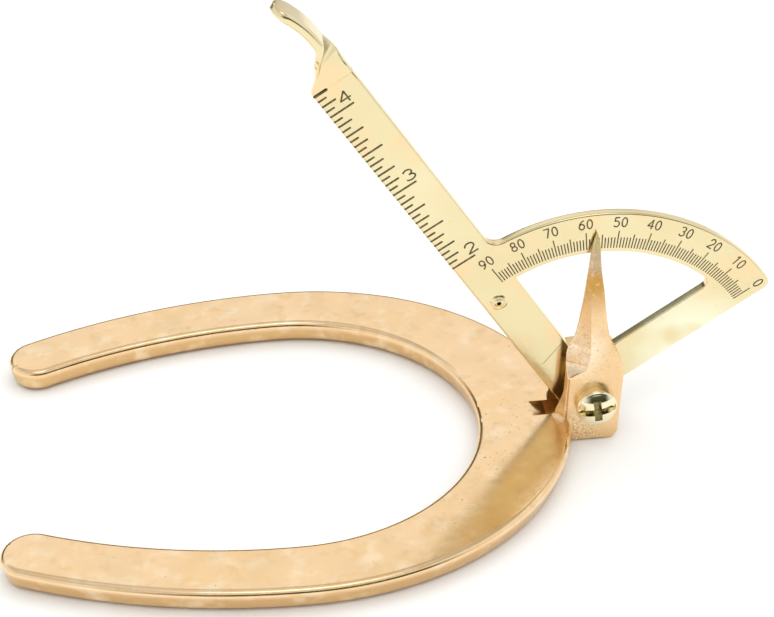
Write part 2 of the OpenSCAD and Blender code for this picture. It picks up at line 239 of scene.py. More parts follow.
def arc(centre: tuple[float, float], radius: float, start: float, end: float, steps: int) -> Array:
    """Points of a circle arc between two angles in degrees: centre + radius (cos a, sin a)."""
    angle = np.radians(np.linspace(start, end, steps))
    return np.array(centre) + radius * np.stack([np.cos(angle), np.sin(angle)], axis=-1)


def offset_outline(outline: Array, inset: float) -> Array:
    """Moves a closed outline to its left by a distance, keeping the corners mitred.

    Each point moves along the sum of its two edges' left normals over one plus their product.

    Args:
        outline: Points, counter-clockwise.
        inset: Distance to the left of the direction of travel.

    Returns:
        The moved points.
    """
    edge = np.roll(outline, -1, axis=0) - outline
    edge = edge / np.linalg.norm(edge, axis=1, keepdims=True)
    normal = np.stack([-edge[:, 1], edge[:, 0]], axis=-1)
    before = np.roll(normal, 1, axis=0)
    share = 1 + (normal * before).sum(axis=1, keepdims=True)
    return outline + inset * (normal + before) / share


def risen(at: Array, start: float, end: float) -> Array:
    """Share of the way from one place to another, held at 0 before it and at 1 past it."""
    return np.clip((at - start) / (end - start), 0, 1)


def along(track: Track, at: Array) -> Array:
    """Smooth run of a size over the height, by cubic pieces between its stations.

    Each piece blends the two stations and their slopes with the weights 2t^3-3t^2+1, t^3-2t^2+t,
    3t^2-2t^3 and t^3-t^2. A station's slope is the harmonic mean of the slopes beside it, or zero at a
    turning point, so the run never swings past its stations.

    Args:
        track: Heights and the size at each.
        at: Heights to read.

    Returns:
        The size at each height, held at the ends.
    """
    station, value = np.array(track).T
    rise = np.diff(value) / np.diff(station)
    product = rise[:-1] * rise[1:]
    inner = np.where(product > 0, 2 * product / np.where(product > 0, rise[:-1] + rise[1:], 1), 0)
    slope = np.concatenate([rise[:1], inner, rise[-1:]])
    place = np.clip(np.searchsorted(station, at) - 1, 0, len(station) - 2)
    step = station[place + 1] - station[place]
    t = np.clip((at - station[place]) / step, 0, 1)
    start, end = value[place], value[place + 1]
    leave, arrive = slope[place] * step, slope[place + 1] * step
    return (
        start * (2 * t**3 - 3 * t**2 + 1)
        + leave * (t**3 - 2 * t**2 + t)
        + end * (3 * t**2 - 2 * t**3)
        + arrive * (t**3 - t**2)
    )


def add_piece(
    name: str,
    surface: Surface,
    finish: "Finish",
    body: Body,
    replaced: tuple[str, ...] = (),
    sharp: float = 40.0,
) -> bpy.types.Object:
    """Makes a mesh object of the gauge and ties it to its body.

    Args:
        name: Name of the piece.
        surface: Its surface in millimetres of the CAD frame.
        finish: Finish that dresses it.
        body: Body that it moves with.
        replaced: CAD nodes that it stands for.
        sharp: Edges bent by more than this angle, in degrees, stay sharp.

    Returns:
        The new object.
    """
    mesh = bpy.data.meshes.new(name)
    polygons = [polygon for group in surface.faces for polygon in group.tolist()]
    mesh.from_pydata(surface.points * MM, [], polygons)
    mesh.polygons.foreach_set("use_smooth", np.ones(len(polygons), dtype=bool))
    mesh.set_sharp_from_angle(angle=math.radians(sharp))
    mesh.materials.append(finish.material())
    piece = bpy.data.objects.new(name, mesh)
    bpy.context.scene.collection.objects.link(piece)
    flats = piece.modifiers.new("flat faces", "WEIGHTED_NORMAL")
    flats.keep_sharp = True
    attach(piece, body.value)
    if replaced:
        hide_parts(*replaced)
    LOG.info("%s: %d points, %d faces", name, len(mesh.vertices), len(mesh.polygons))
    return piece


class Graph:
    """A node tree with short calls for the nodes that the finishes and the room share."""

    def __init__(self, tree: bpy.types.NodeTree, coordinates: str) -> None:
        """Takes a tree, and the name of the texture coordinates that its nodes read."""
        self.tree = tree
        self.place = self.node("TexCoord").outputs[coordinates]

    def node(self, kind: str, **settings: str) -> bpy.types.Node:
        """A new shader node of a kind, with settings such as its operation."""
        node = self.tree.nodes.new("ShaderNode" + kind)
        for name, value in settings.items():
            setattr(node, name, value)
        return node

    def feed(self, target: Socket, source: Socket | float | tuple[float, ...]) -> None:
        """Links a socket to another one, or sets it to a constant."""
        if isinstance(source, Socket):
            self.tree.links.new(source, target)
        else:
            target.default_value = source

    def stretched(self, scale: Point, turn: float) -> Socket:
        """Coordinates turned about +Y by an angle in degrees and scaled along each axis."""
        node = self.node("Mapping", vector_type="POINT")
        self.feed(node.inputs["Rotation"], (0, math.radians(turn), 0))
        self.feed(node.inputs["Scale"], scale)
        self.feed(node.inputs["Vector"], self.place)
        return node.outputs["Vector"]

    def noise(self, scale: float, detail: float, at: Socket | None = None) -> Socket:
        """Smooth noise of a number of waves per metre, with finer waves by its detail."""
        node = self.node("TexNoise")
        self.feed(node.inputs["Scale"], scale)
        self.feed(node.inputs["Detail"], detail)
        self.feed(node.inputs["Vector"], at or self.place)
        return node.outputs["Fac"]

    def spread(
        self,
        source: Socket,
        low: float,
        high: float,
        start: float = 0.0,
        end: float = 1.0,
        curve: str = "LINEAR",
    ) -> Socket:
        """Maps low..high of a value to start..end, held at the ends, straight or along a smooth curve."""
        node = self.node("MapRange", interpolation_type=curve)
        limits = {"Value": source, "From Min": low, "From Max": high, "To Min": start, "To Max": end}
        for name, value in limits.items():
            self.feed(node.inputs[name], value)
        return node.outputs["Result"]

    def blend(self, share: Socket, first: Socket | Tint, second: Socket | Tint) -> Socket:
        """Mixes two colours by a share."""
        node = self.node("Mix", data_type="RGBA")
        self.feed(node.inputs["Factor"], share)
        for name, value in (("A", first), ("B", second)):
            self.feed(node.inputs[name], (*value, 1.0) if isinstance(value, tuple) else value)
        return node.outputs["Result"]

    def vector(self, operation: str, first: Socket, second: Point | None = None) -> bpy.types.Node:
        """A vector operation on a value, alone or with a constant."""
        node = self.node("VectorMath", operation=operation)
        self.feed(node.inputs[0], first)
        if second is not None:
            self.feed(node.inputs[1], second)
        return node

    def height(self) -> Socket:
        """Height of the coordinates: over the floor in metres, or of a direction."""
        node = self.node("SeparateXYZ")
        self.feed(node.inputs["Vector"], self.place)
        return node.outputs["Z"]

    def near(self, share: Socket, centre: Point, reach: float) -> Socket:
        """A share that is whole up to 0.4 of a distance round a point and fades out at it, in metres."""
        away = self.vector("DISTANCE", self.place, centre).outputs["Value"]
        product = self.node("Math", operation="MULTIPLY")
        self.feed(product.inputs[0], share)
        self.feed(product.inputs[1], self.spread(away, 0.4 * reach, reach, 1.0, 0.0))
        return product.outputs["Value"]

    def bump(self, height: Socket, depth: float, under: Socket | None = None) -> Socket:
        """Surface relief of a depth in metres, on top of another one."""
        node = self.node("Bump")
        self.feed(node.inputs["Strength"], 1.0)
        self.feed(node.inputs["Distance"], depth)
        self.feed(node.inputs["Height"], height)
        if under is not None:
            self.feed(node.inputs["Normal"], under)
        return node.outputs["Normal"]


class MaterialGraph(Graph):
    """A material's node tree on Object coordinates, with a principled shader."""

    def __init__(self, name: str) -> None:
        """Starts an empty material with its shader and its output."""
        self.result = bpy.data.materials.new(name)
        self.result.use_nodes = True
        self.result.node_tree.nodes.clear()
        super().__init__(self.result.node_tree, "Object")
        self.shader = self.node("BsdfPrincipled")
        self.feed(self.node("OutputMaterial").inputs["Surface"], self.shader.outputs["BSDF"])

    def give(self, socket: str, value: Socket | float | tuple[float, ...]) -> None:
        """Feeds a socket of the shader."""
        self.feed(self.shader.inputs[socket], value)


@dataclass(frozen=True)
class Finish:
    """A finish that is made into a material once and then shared."""

    name: str
    slot: Slot

    def material(self) -> bpy.types.Material:
        """The finish as a material."""
        made = bpy.data.materials.get(self.name)
        if made is None:
            graph = MaterialGraph(self.name)
            self.dress(graph)
            made = graph.result
        return made

    def dress(self, graph: MaterialGraph) -> None:
        """Gives the shader its colour, gloss and relief."""
        raise NotImplementedError


@dataclass(frozen=True)
class HeightBand:
    """A tint that comes in from one height to another, in metres over the floor."""

    tint: Tint
    start: float
    end: float


@dataclass(frozen=True)
class Patch:
    """Spots of another tint and relief where a noise is high, everywhere or round a point."""

    tint: Tint
    scale: float
    low: float
    high: float
    depth: float = 0.0
    centre: Point = (0.0, 0.0, 0.0)
    reach: float = 0.0


@dataclass(frozen=True)
class MetalFinish(Finish):
    """A worked metal: two tints in soft clouds, bands and patches of others, gloss, waves and grain."""

    tint: Tint
    cloud: Tint
    gloss: tuple[float, float]
    bands: tuple[HeightBand, ...] = ()
    patches: tuple[Patch, ...] = ()
    cloud_scale: float = 45.0
    cloud_span: tuple[float, float] = (0.35, 0.65)
    wave_share: float = 1.7
    wave_depth: float = 0.00006
    gloss_share: float = 3.1
    grain_scale: float = 1500.0
    grain_depth: float = 0.000010
    brush_scale: Point = (60.0, 60.0, 900.0)
    brush_turn: float = 0.0
    brush_depth: float = 0.000004

    def dress(self, graph: MaterialGraph) -> None:
        """Lays bands and patches over the clouds, and waves, brush strokes and grain into the relief."""
        clouds = graph.spread(graph.noise(self.cloud_scale, 5.0), *self.cloud_span)
        colour = graph.blend(clouds, self.tint, self.cloud)
        relief = graph.bump(graph.noise(self.cloud_scale * self.wave_share, 2.0), self.wave_depth)
        strokes = graph.noise(1.0, 3.0, graph.stretched(self.brush_scale, self.brush_turn))
        relief = graph.bump(strokes, self.brush_depth, relief)
        relief = graph.bump(graph.noise(self.grain_scale, 4.0), self.grain_depth, relief)
        for band in self.bands:
            colour = graph.blend(graph.spread(graph.height(), band.start, band.end), colour, band.tint)
        for patch in self.patches:
            share = graph.spread(graph.noise(patch.scale, 2.0), patch.low, patch.high)
            if patch.reach:
                share = graph.near(share, patch.centre, patch.reach)
            colour = graph.blend(share, colour, patch.tint)
            if patch.depth:
                relief = graph.bump(share, patch.depth, relief)
        rough = graph.noise(self.cloud_scale * self.gloss_share, 4.0)
        graph.give("Base Color", colour)
        graph.give("Roughness", graph.spread(rough, *self.cloud_span, *self.gloss))
        graph.give("Normal", relief)
        graph.give("Metallic", 1.0)


@dataclass(frozen=True)
class InkFinish(Finish):
    """Dull dark filling of the engraved lines, a little worn."""

    tint: Tint
    worn: Tint
    wear_scale: float = 900.0
    wear_span: tuple[float, float] = (0.45, 0.75)
    rough: float = 0.55

    def dress(self, graph: MaterialGraph) -> None:
        """Blends the worn tint in where a fine noise is high."""
        wear = graph.spread(graph.noise(self.wear_scale, 3.0), *self.wear_span)
        graph.give("Base Color", graph.blend(wear, self.tint, self.worn))
        graph.give("Roughness", self.rough)


CAST_BRONZE = MetalFinish(
    "cast bronze",
    Slot.BRONZE,
    (0.93, 0.645, 0.35),
    (0.95, 0.69, 0.42),
    (0.14, 0.22),
    # Painted shade: the plate's walls turn darker below the upper rounding and stay dark down to the floor,
    # for the shaded floor that they reflect near their foot.
    bands=(HeightBand((0.74, 0.49, 0.23), 0.0052, 0.0040),),
    patches=(
        Patch((0.98, 0.78, 0.52), 190.0, 0.52, 0.78),
        Patch((0.86, 0.58, 0.30), 260.0, 0.56, 0.80),
        Patch((0.40, 0.26, 0.12), 1500.0, 0.68, 0.76, -0.00002, (0.002, -0.018, 0.0065), 0.036),
        Patch((0.55, 0.36, 0.18), 1100.0, 0.74, 0.80, -0.00002),
    ),
    cloud_scale=40.0,
)
FILED_BRONZE = MetalFinish(
    "filed bronze",
    Slot.BRONZE,
    (0.90, 0.63, 0.345),
    (0.93, 0.665, 0.385),
    (0.25, 0.36),
    bands=(
        # Painted shade: the bracket turns darker towards its foot by the floor.
        HeightBand((0.80, 0.54, 0.27), 0.0060, 0.0010),
        HeightBand((0.61, 0.34, 0.09), 0.0355, 0.0430),
        HeightBand((0.58, 0.44, 0.28), 0.0455, 0.0490),
        HeightBand((0.62, 0.52, 0.25), 0.0510, 0.0545),
    ),
    patches=(
        Patch((0.54, 0.35, 0.15), 2700.0, 0.50, 0.64, -0.00002, (0.0115, -0.0077, 0.0025), 0.0080),
        Patch((0.97, 0.83, 0.60), 2100.0, 0.52, 0.64, 0.00002, (0.0130, -0.0077, 0.0020), 0.0085),
        # Painted highlight: a solid pale spot over the pointer's upward-facing left facet.
        Patch((1.00, 0.86, 0.66), 1.0, -1.0, 0.0, 0.0, (0.0118, -0.0050, 0.0265), 0.0085),
        Patch((0.80, 0.56, 0.32), 1900.0, 0.54, 0.70, -0.00002, (0.0115, -0.0060, 0.0245), 0.0055),
        Patch((0.82, 0.56, 0.29), 1300.0, 0.54, 0.74, -0.00001),
    ),
    cloud_scale=110.0,
    wave_depth=0.00003,
    brush_scale=(900.0, 60.0, 60.0),
    brush_depth=0.000006,
)
ROLLED_BRASS = MetalFinish(
    "rolled brass",
    Slot.BRASS,
    (0.82, 0.69, 0.40),
    (0.86, 0.76, 0.48),
    (0.11, 0.19),
    patches=(
        Patch((0.90, 0.69, 0.40), 85.0, 0.54, 0.68),
        # Painted reflection: a pale cream sheen laid over the scale's limb.
        Patch((0.93, 0.91, 0.68), 60.0, 0.30, 0.45, 0.0, (0.041, -0.001, 0.0225), 0.017),
        # Painted shade: a small dark spot that fills the stop rivet's punch mark.
        Patch((0.16, 0.11, 0.03), 1.0, -1.0, 0.0, 0.0, (-0.0066, -0.0014, 0.0390), 0.0009),
        Patch((0.70, 0.56, 0.28), 900.0, 0.70, 0.76),
    ),
    cloud_scale=28.0,
    wave_depth=0.00005,
    brush_scale=(900.0, 60.0, 40.0),
    brush_turn=33.0,
)
TURNED_BRASS = MetalFinish(
    "turned brass",
    Slot.POLISHED,
    (0.90, 0.85, 0.62),
    (0.92, 0.82, 0.55),
    (0.06, 0.11),
    # Painted shade: a dark spot round the axis that darkens the screw's slot and cross recess.
    patches=(Patch((0.20, 0.16, 0.05), 1.0, -1.0, 0.0, 0.0, (0.0168, -0.0068, 0.0112), 0.0046),),
    cloud_scale=120.0,
    wave_depth=0.00001,
)
ENGRAVING = InkFinish("engraving", Slot.BRASS, (0.075, 0.060, 0.018), (0.24, 0.19, 0.07))


@dataclass(frozen=True)
class Pivot:
    """The hinge's axis and the faces across the fork, shared by plate, bracket, arm and fittings."""

    x: float = 16.8
    z: float = 11.2
    arm_half: float = 1.2
    ear_front: float = -7.65
    slot_front: float = -4.45
    slot_rear: float = 1.35
    ear_rear: float = 5.55
    washer_front: float = -2.4
    side_gap: float = 0.05
    slot_floor_r: float = 9.3
    saw_r: float = 26.0
    saw_depth: float = 8.0
    saw_back: float = 2.0
    pocket_back: float = 10.9

    def axis(self) -> Placement:
        """Placement of pieces drawn about the pivot axis."""
        return Placement((self.x, 0.0, self.z))

    def slot_floor(self, x: Array) -> Array:
        """Height of the slot's floor over the axis: the saw cut's circle, and past a step the deep pocket."""
        circle = np.sqrt(np.maximum(self.saw_r**2 - (x + self.saw_back) ** 2, 0))
        return np.where(x > -self.pocket_back, -self.slot_floor_r, self.saw_r - self.saw_depth - circle)


PIVOT = Pivot()


@dataclass(frozen=True)
class BandEdge:
    """One edge of the plate's band: a half ellipse round the toe, then a circle arc along the heel."""

    start_x: float
    toe_len: float
    half_w: float
    heel_r: float
    end_x: float
    toe_steps: int = 61
    heel_steps: int = 40

    def points(self, grow: Array, across: Array) -> Array:
        """Points from the middle of the toe to the heel.

        The toe points are (x + a cos t, b sin t) of an ellipse, and the heel points lie on a circle about a
        centre on the widest line.

        Args:
            grow: How much larger the edge's radii are, in one column with a row per level of the wall.
            across: Distances from the middle of the toe at which the points start.

        Returns:
            Points by level, place along the edge and coordinate.
        """
        first = np.arcsin(across / self.half_w)
        t = np.concatenate([first, np.linspace(first[-1], np.pi / 2, self.toe_steps)[1:]])
        toe_x = self.start_x + (self.toe_len + grow) * np.cos(t)
        toe_y = (self.half_w + grow) * np.sin(t)
        x = np.linspace(self.start_x, self.end_x, self.heel_steps)[None, 1:] + 0 * grow
        y = self.half_w - self.heel_r + np.sqrt((self.heel_r + grow) ** 2 - (x - self.start_x) ** 2)
        return np.concatenate([np.stack([toe_x, toe_y], axis=-1), np.stack([x, y], axis=-1)], axis=1)


@dataclass
class ShoePlate:
    """Horseshoe-shaped plate: half ellipses round the toe, circle arcs along the heels."""

    thick: float = 6.5
    width: float = 116.8
    toe_len: float = 66.9
    toe_w: float = 21.6
    quarter_w: float = 14.4
    inner_toe_len: float = 47.4
    heel_r: float = 158.0
    inner_heel_r: float = 146.0
    heel_len: float = 63.5
    heel_skew: float = 3.3
    heel_turn: float = 88.0
    edge_r: float = 1.5
    foot_r: float = 2.4
    outer_flare: float = 0.8
    inner_flare: float = 0.4
    cut_min: float = 0.4
    cut_under: float = 0.05
    toe_flat: float = 8.0
    top_steps: int = 62
    under_stride: int = 8

    def walls(self) -> tuple[Array, Array, Array]:
        """Insets, shares of the flare and heights up the wall: round foot, leaning wall, round upper edge."""
        foot = np.radians(np.linspace(0, 90, 9))
        edge = np.radians(np.linspace(0, 90, 13))
        inset = np.concatenate([self.foot_r * (1 - np.sin(foot)), self.edge_r * (1 - np.cos(edge))])
        rise = self.foot_r * (1 - np.cos(foot))
        height = np.concatenate([rise, self.thick - self.edge_r * (1 - np.sin(edge))])
        flare = np.concatenate([0 * foot, 1 + 0 * edge])
        return inset, flare, height

    def sides(self, inset: Array, flare: Array, slot_wall: float) -> tuple[Array, Array, Array]:
        """Outer and inner points of the band, paired from the middle of the toe to one heel's end.

        Both edges run round the toe and along the heel, and the end is a half circle between the two.

        Args:
            inset: Distances from the true outline, one per level of the wall.
            flare: Shares of the wall's flare, one per level.
            slot_wall: Distance of the slot's wall from the middle on this side.

        Returns:
            Outer points and inner points by level and pair, and which pairs lie in the saw cut.
        """
        outer_x = self.toe_w / 2 - self.toe_len
        inner_x = -self.toe_w / 2 - self.inner_toe_len
        heel_x = outer_x - self.heel_len
        half, inner_half = self.width / 2, self.width / 2 - self.quarter_w
        outer_edge = BandEdge(outer_x, self.toe_len, half, self.heel_r, heel_x - self.heel_skew)
        inner_edge = BandEdge(
            inner_x, self.inner_toe_len, inner_half, self.inner_heel_r, heel_x + self.heel_skew
        )
        in_slot = np.array([0.0, 0.35, 0.7, 1.0]) * slot_wall
        across = np.concatenate([in_slot, np.linspace(slot_wall, self.toe_flat, 5)])
        outer = outer_edge.points((self.outer_flare * flare - inset)[:, None], across)
        inner = inner_edge.points((inset - self.inner_flare * flare)[:, None], across)
        middle = (outer[:, -1:] + inner[:, -1:]) / 2
        arm = outer[:, -1:] - middle
        square = np.stack([-arm[..., 1], arm[..., 0]], axis=-1)
        turn = np.radians(np.linspace(0, self.heel_turn, 14))[None, 1:, None]
        outer = np.concatenate([outer, middle + arm * np.cos(turn) + square * np.sin(turn)], axis=1)
        inner = np.concatenate([inner, middle - arm * np.cos(turn) + square * np.sin(turn)], axis=1)
        return outer, inner, np.arange(outer.shape[1]) < len(in_slot)

    def half(self, slot_wall: float) -> Array:
        """Sections of one half of the plate, from the middle of the toe to the heel's end.

        A section runs up the outer wall, straight across the top, down the inner wall and back under the
        plate. Inside the saw cut no point stands higher than the cut's floor.

        Args:
            slot_wall: Distance of the slot's wall from the middle on this side.

        Returns:
            Points by section, place in the section and coordinate.
        """
        inset, flare, height = self.walls()
        outer, inner, cut = self.sides(inset, flare, slot_wall)
        level = np.broadcast_to(height[:, None, None], (*outer.shape[:2], 1))
        up = np.concatenate([outer, level], axis=-1)
        down = np.concatenate([inner, level], axis=-1)[::-1]
        share = np.linspace(0, 1, self.top_steps)[1:-1, None, None]
        top = up[-1] * (1 - share) + down[0] * share
        share = share[:: self.under_stride]
        under = down[-1] * (1 - share) + up[0] * share
        sections = np.concatenate([up, top, down, under]).swapaxes(0, 1)
        floor = PIVOT.slot_floor(sections[..., 0] - PIVOT.x) + PIVOT.z - self.cut_under
        sections[cut, :, 2] = np.minimum(sections[cut, :, 2], np.maximum(floor[cut], self.cut_min))
        return sections

    def surface(self) -> Surface:
        """Sections across the band, carried from one heel's end round the toe to the other."""
        front = self.half(-PIVOT.slot_front) * np.array([1.0, -1.0, 1.0])
        return tube(np.concatenate([front[:0:-1], self.half(PIVOT.slot_rear)]))

    def build(self) -> bpy.types.Object:
        """Builds and dresses the plate."""
        return add_piece("shoe_plate_look", self.surface(), CAST_BRONZE, Body.BASE, ("shoe_plate",))


@dataclass
class PointerBracket:
    """Forked bracket in one casting: front ear with the pointer, web under the slot, rear ear.

    Heights and offsets are measured from the pivot axis. The tracks give the offset along X, the place
    along Y or the softness of the lines that run up the front ear and the pointer.
    """

    front: float = 6.4
    back: float = 7.5
    root_flare: float = 2.3
    lean: float = 3.2
    rear_top: float = 11.3
    corner_r: float = 2.5
    web_lift: float = 0.04
    web_reach: float = 9.9
    braze_back: float = 7.7
    braze_foot: float = 6.35
    pointer_h: float = 45.7
    ledge: float = 7.5
    front_slope: float = 2.35
    front_bow: float = 3.1
    rear_slope: float = 3.1
    rear_step: float = 0.25
    rear_step_rate: float = 20.0
    foot_inset: float = 0.35
    foot_h: float = 0.4
    seam_w: float = 0.5
    seam_top: float = 7.3
    bevel_slope: float = 0.62
    bevel_most: float = 0.95
    bevel_crease: float = 0.4
    bevel_start: tuple[float, float] = (11.0, 11.5)
    rear_soft: float = 0.3
    crease_soft: float = 0.12
    ridge_soft: Track = ((26.0, 0.12), (38.0, 0.82))
    side_soft: Track = ((7.2, 0.15), (7.6, 0.4))
    right_edge: Track = (
        (-11.2, 6.1), (-2.6, 6.4), (4.5, 6.65), (7.2, 6.85), (9.5, 6.65), (11.7, 6.1), (14.3, 5.05),
        (16.2, 4.0), (18.7, 3.0), (22.1, 2.4), (26.0, 1.9), (31.0, 1.38), (33.5, 1.0), (37.2, 0.55),
        (42.2, 0.2), (44.3, -0.1), (45.7, -0.50),
    )
    flank_edge: Track = (
        (-11.2, -9.9), (-4.0, -9.4), (-1.0, -8.4), (1.0, -7.7), (2.4, -7.35), (8.4, -7.15), (11.3, -7.08),
        (13.4, -7.02), (14.8, -6.75), (16.1, -6.15), (17.5, -5.5), (20.1, -4.75), (24.8, -3.95),
        (30.0, -3.15), (36.4, -2.4), (41.7, -1.8), (44.0, -1.3), (45.7, -0.62),
    )
    ridge: Track = (
        (-11.2, -7.05), (7.3, -6.6), (8.1, -6.2), (8.6, -5.5), (9.1, -4.6), (9.5, -3.7), (9.9, -2.95),
        (10.8, -2.35), (12.1, -1.95), (13.6, -1.64), (16.0, -1.6), (22.0, -1.7), (28.8, -1.8), (35.0, -1.6),
        (40.0, -1.3), (43.6, -0.9), (45.7, -0.57),
    )
    side_depth: Track = ((-11.2, 0.4), (7.4, 0.4), (11.2, 3.0), (46.5, 3.0))
    crease: Track = (
        (-11.2, -7.2), (7.2, -6.75), (7.6, -6.95), (8.1, -6.85), (8.6, -6.2), (9.1, -5.3), (9.5, -4.4),
        (9.9, -3.5), (10.6, -5.0), (11.2, -6.7), (46.5, -6.7),
    )
    crease_depth: Track = (
        (-11.2, 0.5), (7.2, 0.5), (7.6, 0.14), (9.1, 0.16), (9.5, 0.18), (9.9, 0.3), (10.6, 1.6),
        (11.2, 2.75), (46.5, 2.75),
    )
    shoulder: Track = (
        (-11.2, 0.6), (5.0, 0.6), (9.0, 1.5), (14.0, 1.7), (20.0, 1.1), (30.0, 0.6), (46.5, 0.06)
    )

    def rounding(self, from_edge: Array) -> Array:
        """How far a corner's circle falls back at a distance from the edge."""
        short = np.clip(self.corner_r - from_edge, 0, self.corner_r)
        return self.corner_r - np.sqrt(self.corner_r**2 - short**2)

    def front_ear(self) -> Surface:
        """Level sections of six softened corners, carried from the bracket's foot up to the pointer's tip.

        A section runs from the ridge along the front to the right edge, back along the right side, across
        the rear to the flank, forward along the left side and over the ledge or the bevel to the ridge. The
        front draws back with the height above the ledge and its square. The last two corners bound the
        ledge up to its crease, and above it they lie on the bevel between the flank and the ridge.

        Returns:
            The closed surface of the ear and the pointer.
        """

        def at(x: Array, y: Array) -> Array:
            """Points of a line that runs up the ear."""
            return np.stack([x, y], axis=-1)

        foot = -PIVOT.z
        # The levels lie closest at the foot and where the ledge turns into the bevel
        z = np.concatenate(
            [
                foot + np.array([0.0, 0.12, 0.35]),
                np.linspace(foot + 0.6, 6.8, 30),
                np.linspace(7.0, 12.4, 61),
                np.linspace(12.6, 17.0, 24),
                np.linspace(17.5, self.pointer_h, 60),
            ]
        )
        share = risen(z, self.ledge, self.pointer_h)
        front = PIVOT.ear_front + self.front_slope * share + self.front_bow * share**2
        step = self.rear_step * np.clip(share * self.rear_step_rate, 0, 1)
        rear = PIVOT.slot_front - step + self.rear_slope * share
        inset = self.foot_inset * risen(z, foot + self.foot_h, foot) ** 2
        face, thick = front + inset, rear - front
        right_x = along(self.right_edge, z) - self.rounding(z - foot) - inset
        flank_x = along(self.flank_edge, z) + inset
        ridge_x = along(self.ridge, z)
        flank, ridge = at(flank_x, rear), at(ridge_x, face)
        left = at(along(self.ridge, np.minimum(z, self.seam_top)) - self.seam_w, face)
        side = left + (flank - left) * (along(self.side_depth, z) / thick)[:, None]
        crease = at(along(self.crease, z), face + along(self.crease_depth, z))
        deep = np.minimum(self.bevel_slope * (ridge_x - flank_x), self.bevel_most * thick)
        edge = at(flank_x, face + deep)
        bevel = risen(z, *self.bevel_start)[:, None]
        side = side * (1 - bevel) + edge * bevel
        crease = crease * (1 - bevel) + (edge + (ridge - edge) * self.bevel_crease) * bevel
        corners = np.stack([ridge, at(right_x, face), at(right_x, rear), flank, side, crease], axis=1)
        rear_soft, crease_soft = np.full_like(z, self.rear_soft), np.full_like(z, self.crease_soft)
        ridge_soft, side_soft = along(self.ridge_soft, z), along(self.side_soft, z)
        right_soft = along(self.shoulder, z)
        soft = np.stack([ridge_soft, right_soft, rear_soft, rear_soft, side_soft, crease_soft], axis=-1)
        ring = softened(corners, soft, 6)
        tall = np.broadcast_to(z[:, None, None], (*ring.shape[:2], 1))
        return tube(np.concatenate([ring, tall], axis=-1))

    def rear_fork(self) -> Surface:
        """Side outlines carried from inside the front ear, along the web and through the rear ear.

        The upper side of an outline is the slot's floor under the slot and the rear ear's rounded top
        behind it; the lower front corner is a quarter circle. All of it leans with the height.

        Returns:
            The closed surface of the web and the rear ear.
        """
        start, wall, end = PIVOT.slot_front, PIVOT.slot_rear, PIVOT.ear_rear
        web = [start - 0.6, start, 0.0, wall]
        y = np.array([*web, wall, wall + 0.25, end - 0.5, end - 0.15, end])
        inset = np.array([0.0, 0.0, 0.0, 0.0, 0.25, 0.0, 0.0, 0.12, 0.5])
        in_ear = np.arange(len(y)) >= len(web)
        left = (-self.back - self.root_flare * risen(y, end, wall) + inset)[:, None]
        right = (self.front - inset)[:, None]
        bottom = (np.where(in_ear, 0.0, self.web_lift) - PIVOT.z + inset)[:, None]
        x = right + (left - right) * (1 - np.cos(np.linspace(0, np.pi, 40))) / 2
        round_top = (self.rear_top - inset)[:, None] - self.rounding(np.minimum(x - left, right - x))
        floor = PIVOT.slot_floor(np.clip(x, -self.web_reach, self.web_reach))
        top = np.where(in_ear[:, None], round_top, floor)
        turn = np.radians(np.linspace(270, 360, 8))
        corner_x = right - self.corner_r + self.corner_r * np.cos(turn)
        corner_z = bottom + self.corner_r + self.corner_r * np.sin(turn)
        ring_z = np.concatenate([bottom, corner_z, top], axis=1)
        ring_x = np.concatenate([left, corner_x, x], axis=1) + ring_z * math.tan(math.radians(self.lean))
        ring_y = np.broadcast_to(y[:, None], ring_x.shape)
        return tube(np.stack([ring_x, ring_y, ring_z], axis=-1))

    def braze(self, outer: float, inner: float) -> Surface:
        """Hollow fillet of braze where an ear's flared side meets the toe.

        A profile of a corner point and a quarter circle hollow is carried along the ear's plan line, a
        straight run from the ear's outer face to the slot's wall.

        Args:
            outer: Place of the ear's outer face along Y.
            inner: Place of the slot's wall along Y.

        Returns:
            The closed surface of the fillet, drawn about the pivot axis.
        """
        share = np.array([-0.05, 0.08, 0.35, 0.65, 0.97])
        size = np.array([0.5, 1.5, 1.7, 1.4, 0.5])[:, None]
        path_x = -self.braze_back - self.root_flare * share
        path = np.stack([path_x, outer + (inner - outer) * share], axis=-1)
        run = np.array([-self.root_flare, inner - outer])
        out = np.array([-abs(run[1]), math.copysign(self.root_flare, outer)]) / np.linalg.norm(run)
        turn = np.radians(np.linspace(270, 180, 7))
        hollow = np.stack([1 + np.cos(turn), 1 + np.sin(turn)], axis=-1)
        profile = np.concatenate([[[-0.4, -0.3]], hollow, [[-0.4, 1.0]]])
        rise = size * profile[:, 1] - PIVOT.z + self.braze_foot
        plan = path[:, None, :] + out * (size * profile[:, 0])[..., None]
        return tube(np.concatenate([plan, rise[..., None]], axis=-1))

    def build(self) -> bpy.types.Object:
        """Builds and dresses the bracket."""
        fillets = [self.braze(PIVOT.ear_front, PIVOT.slot_front), self.braze(PIVOT.ear_rear, PIVOT.slot_rear)]
        surface = joined([self.front_ear(), self.rear_fork(), *fillets]).moved(PIVOT.axis())
        return add_piece("pointer_bracket_look", surface, FILED_BRONZE, Body.BASE, ("pointer_bracket",), 30.0)


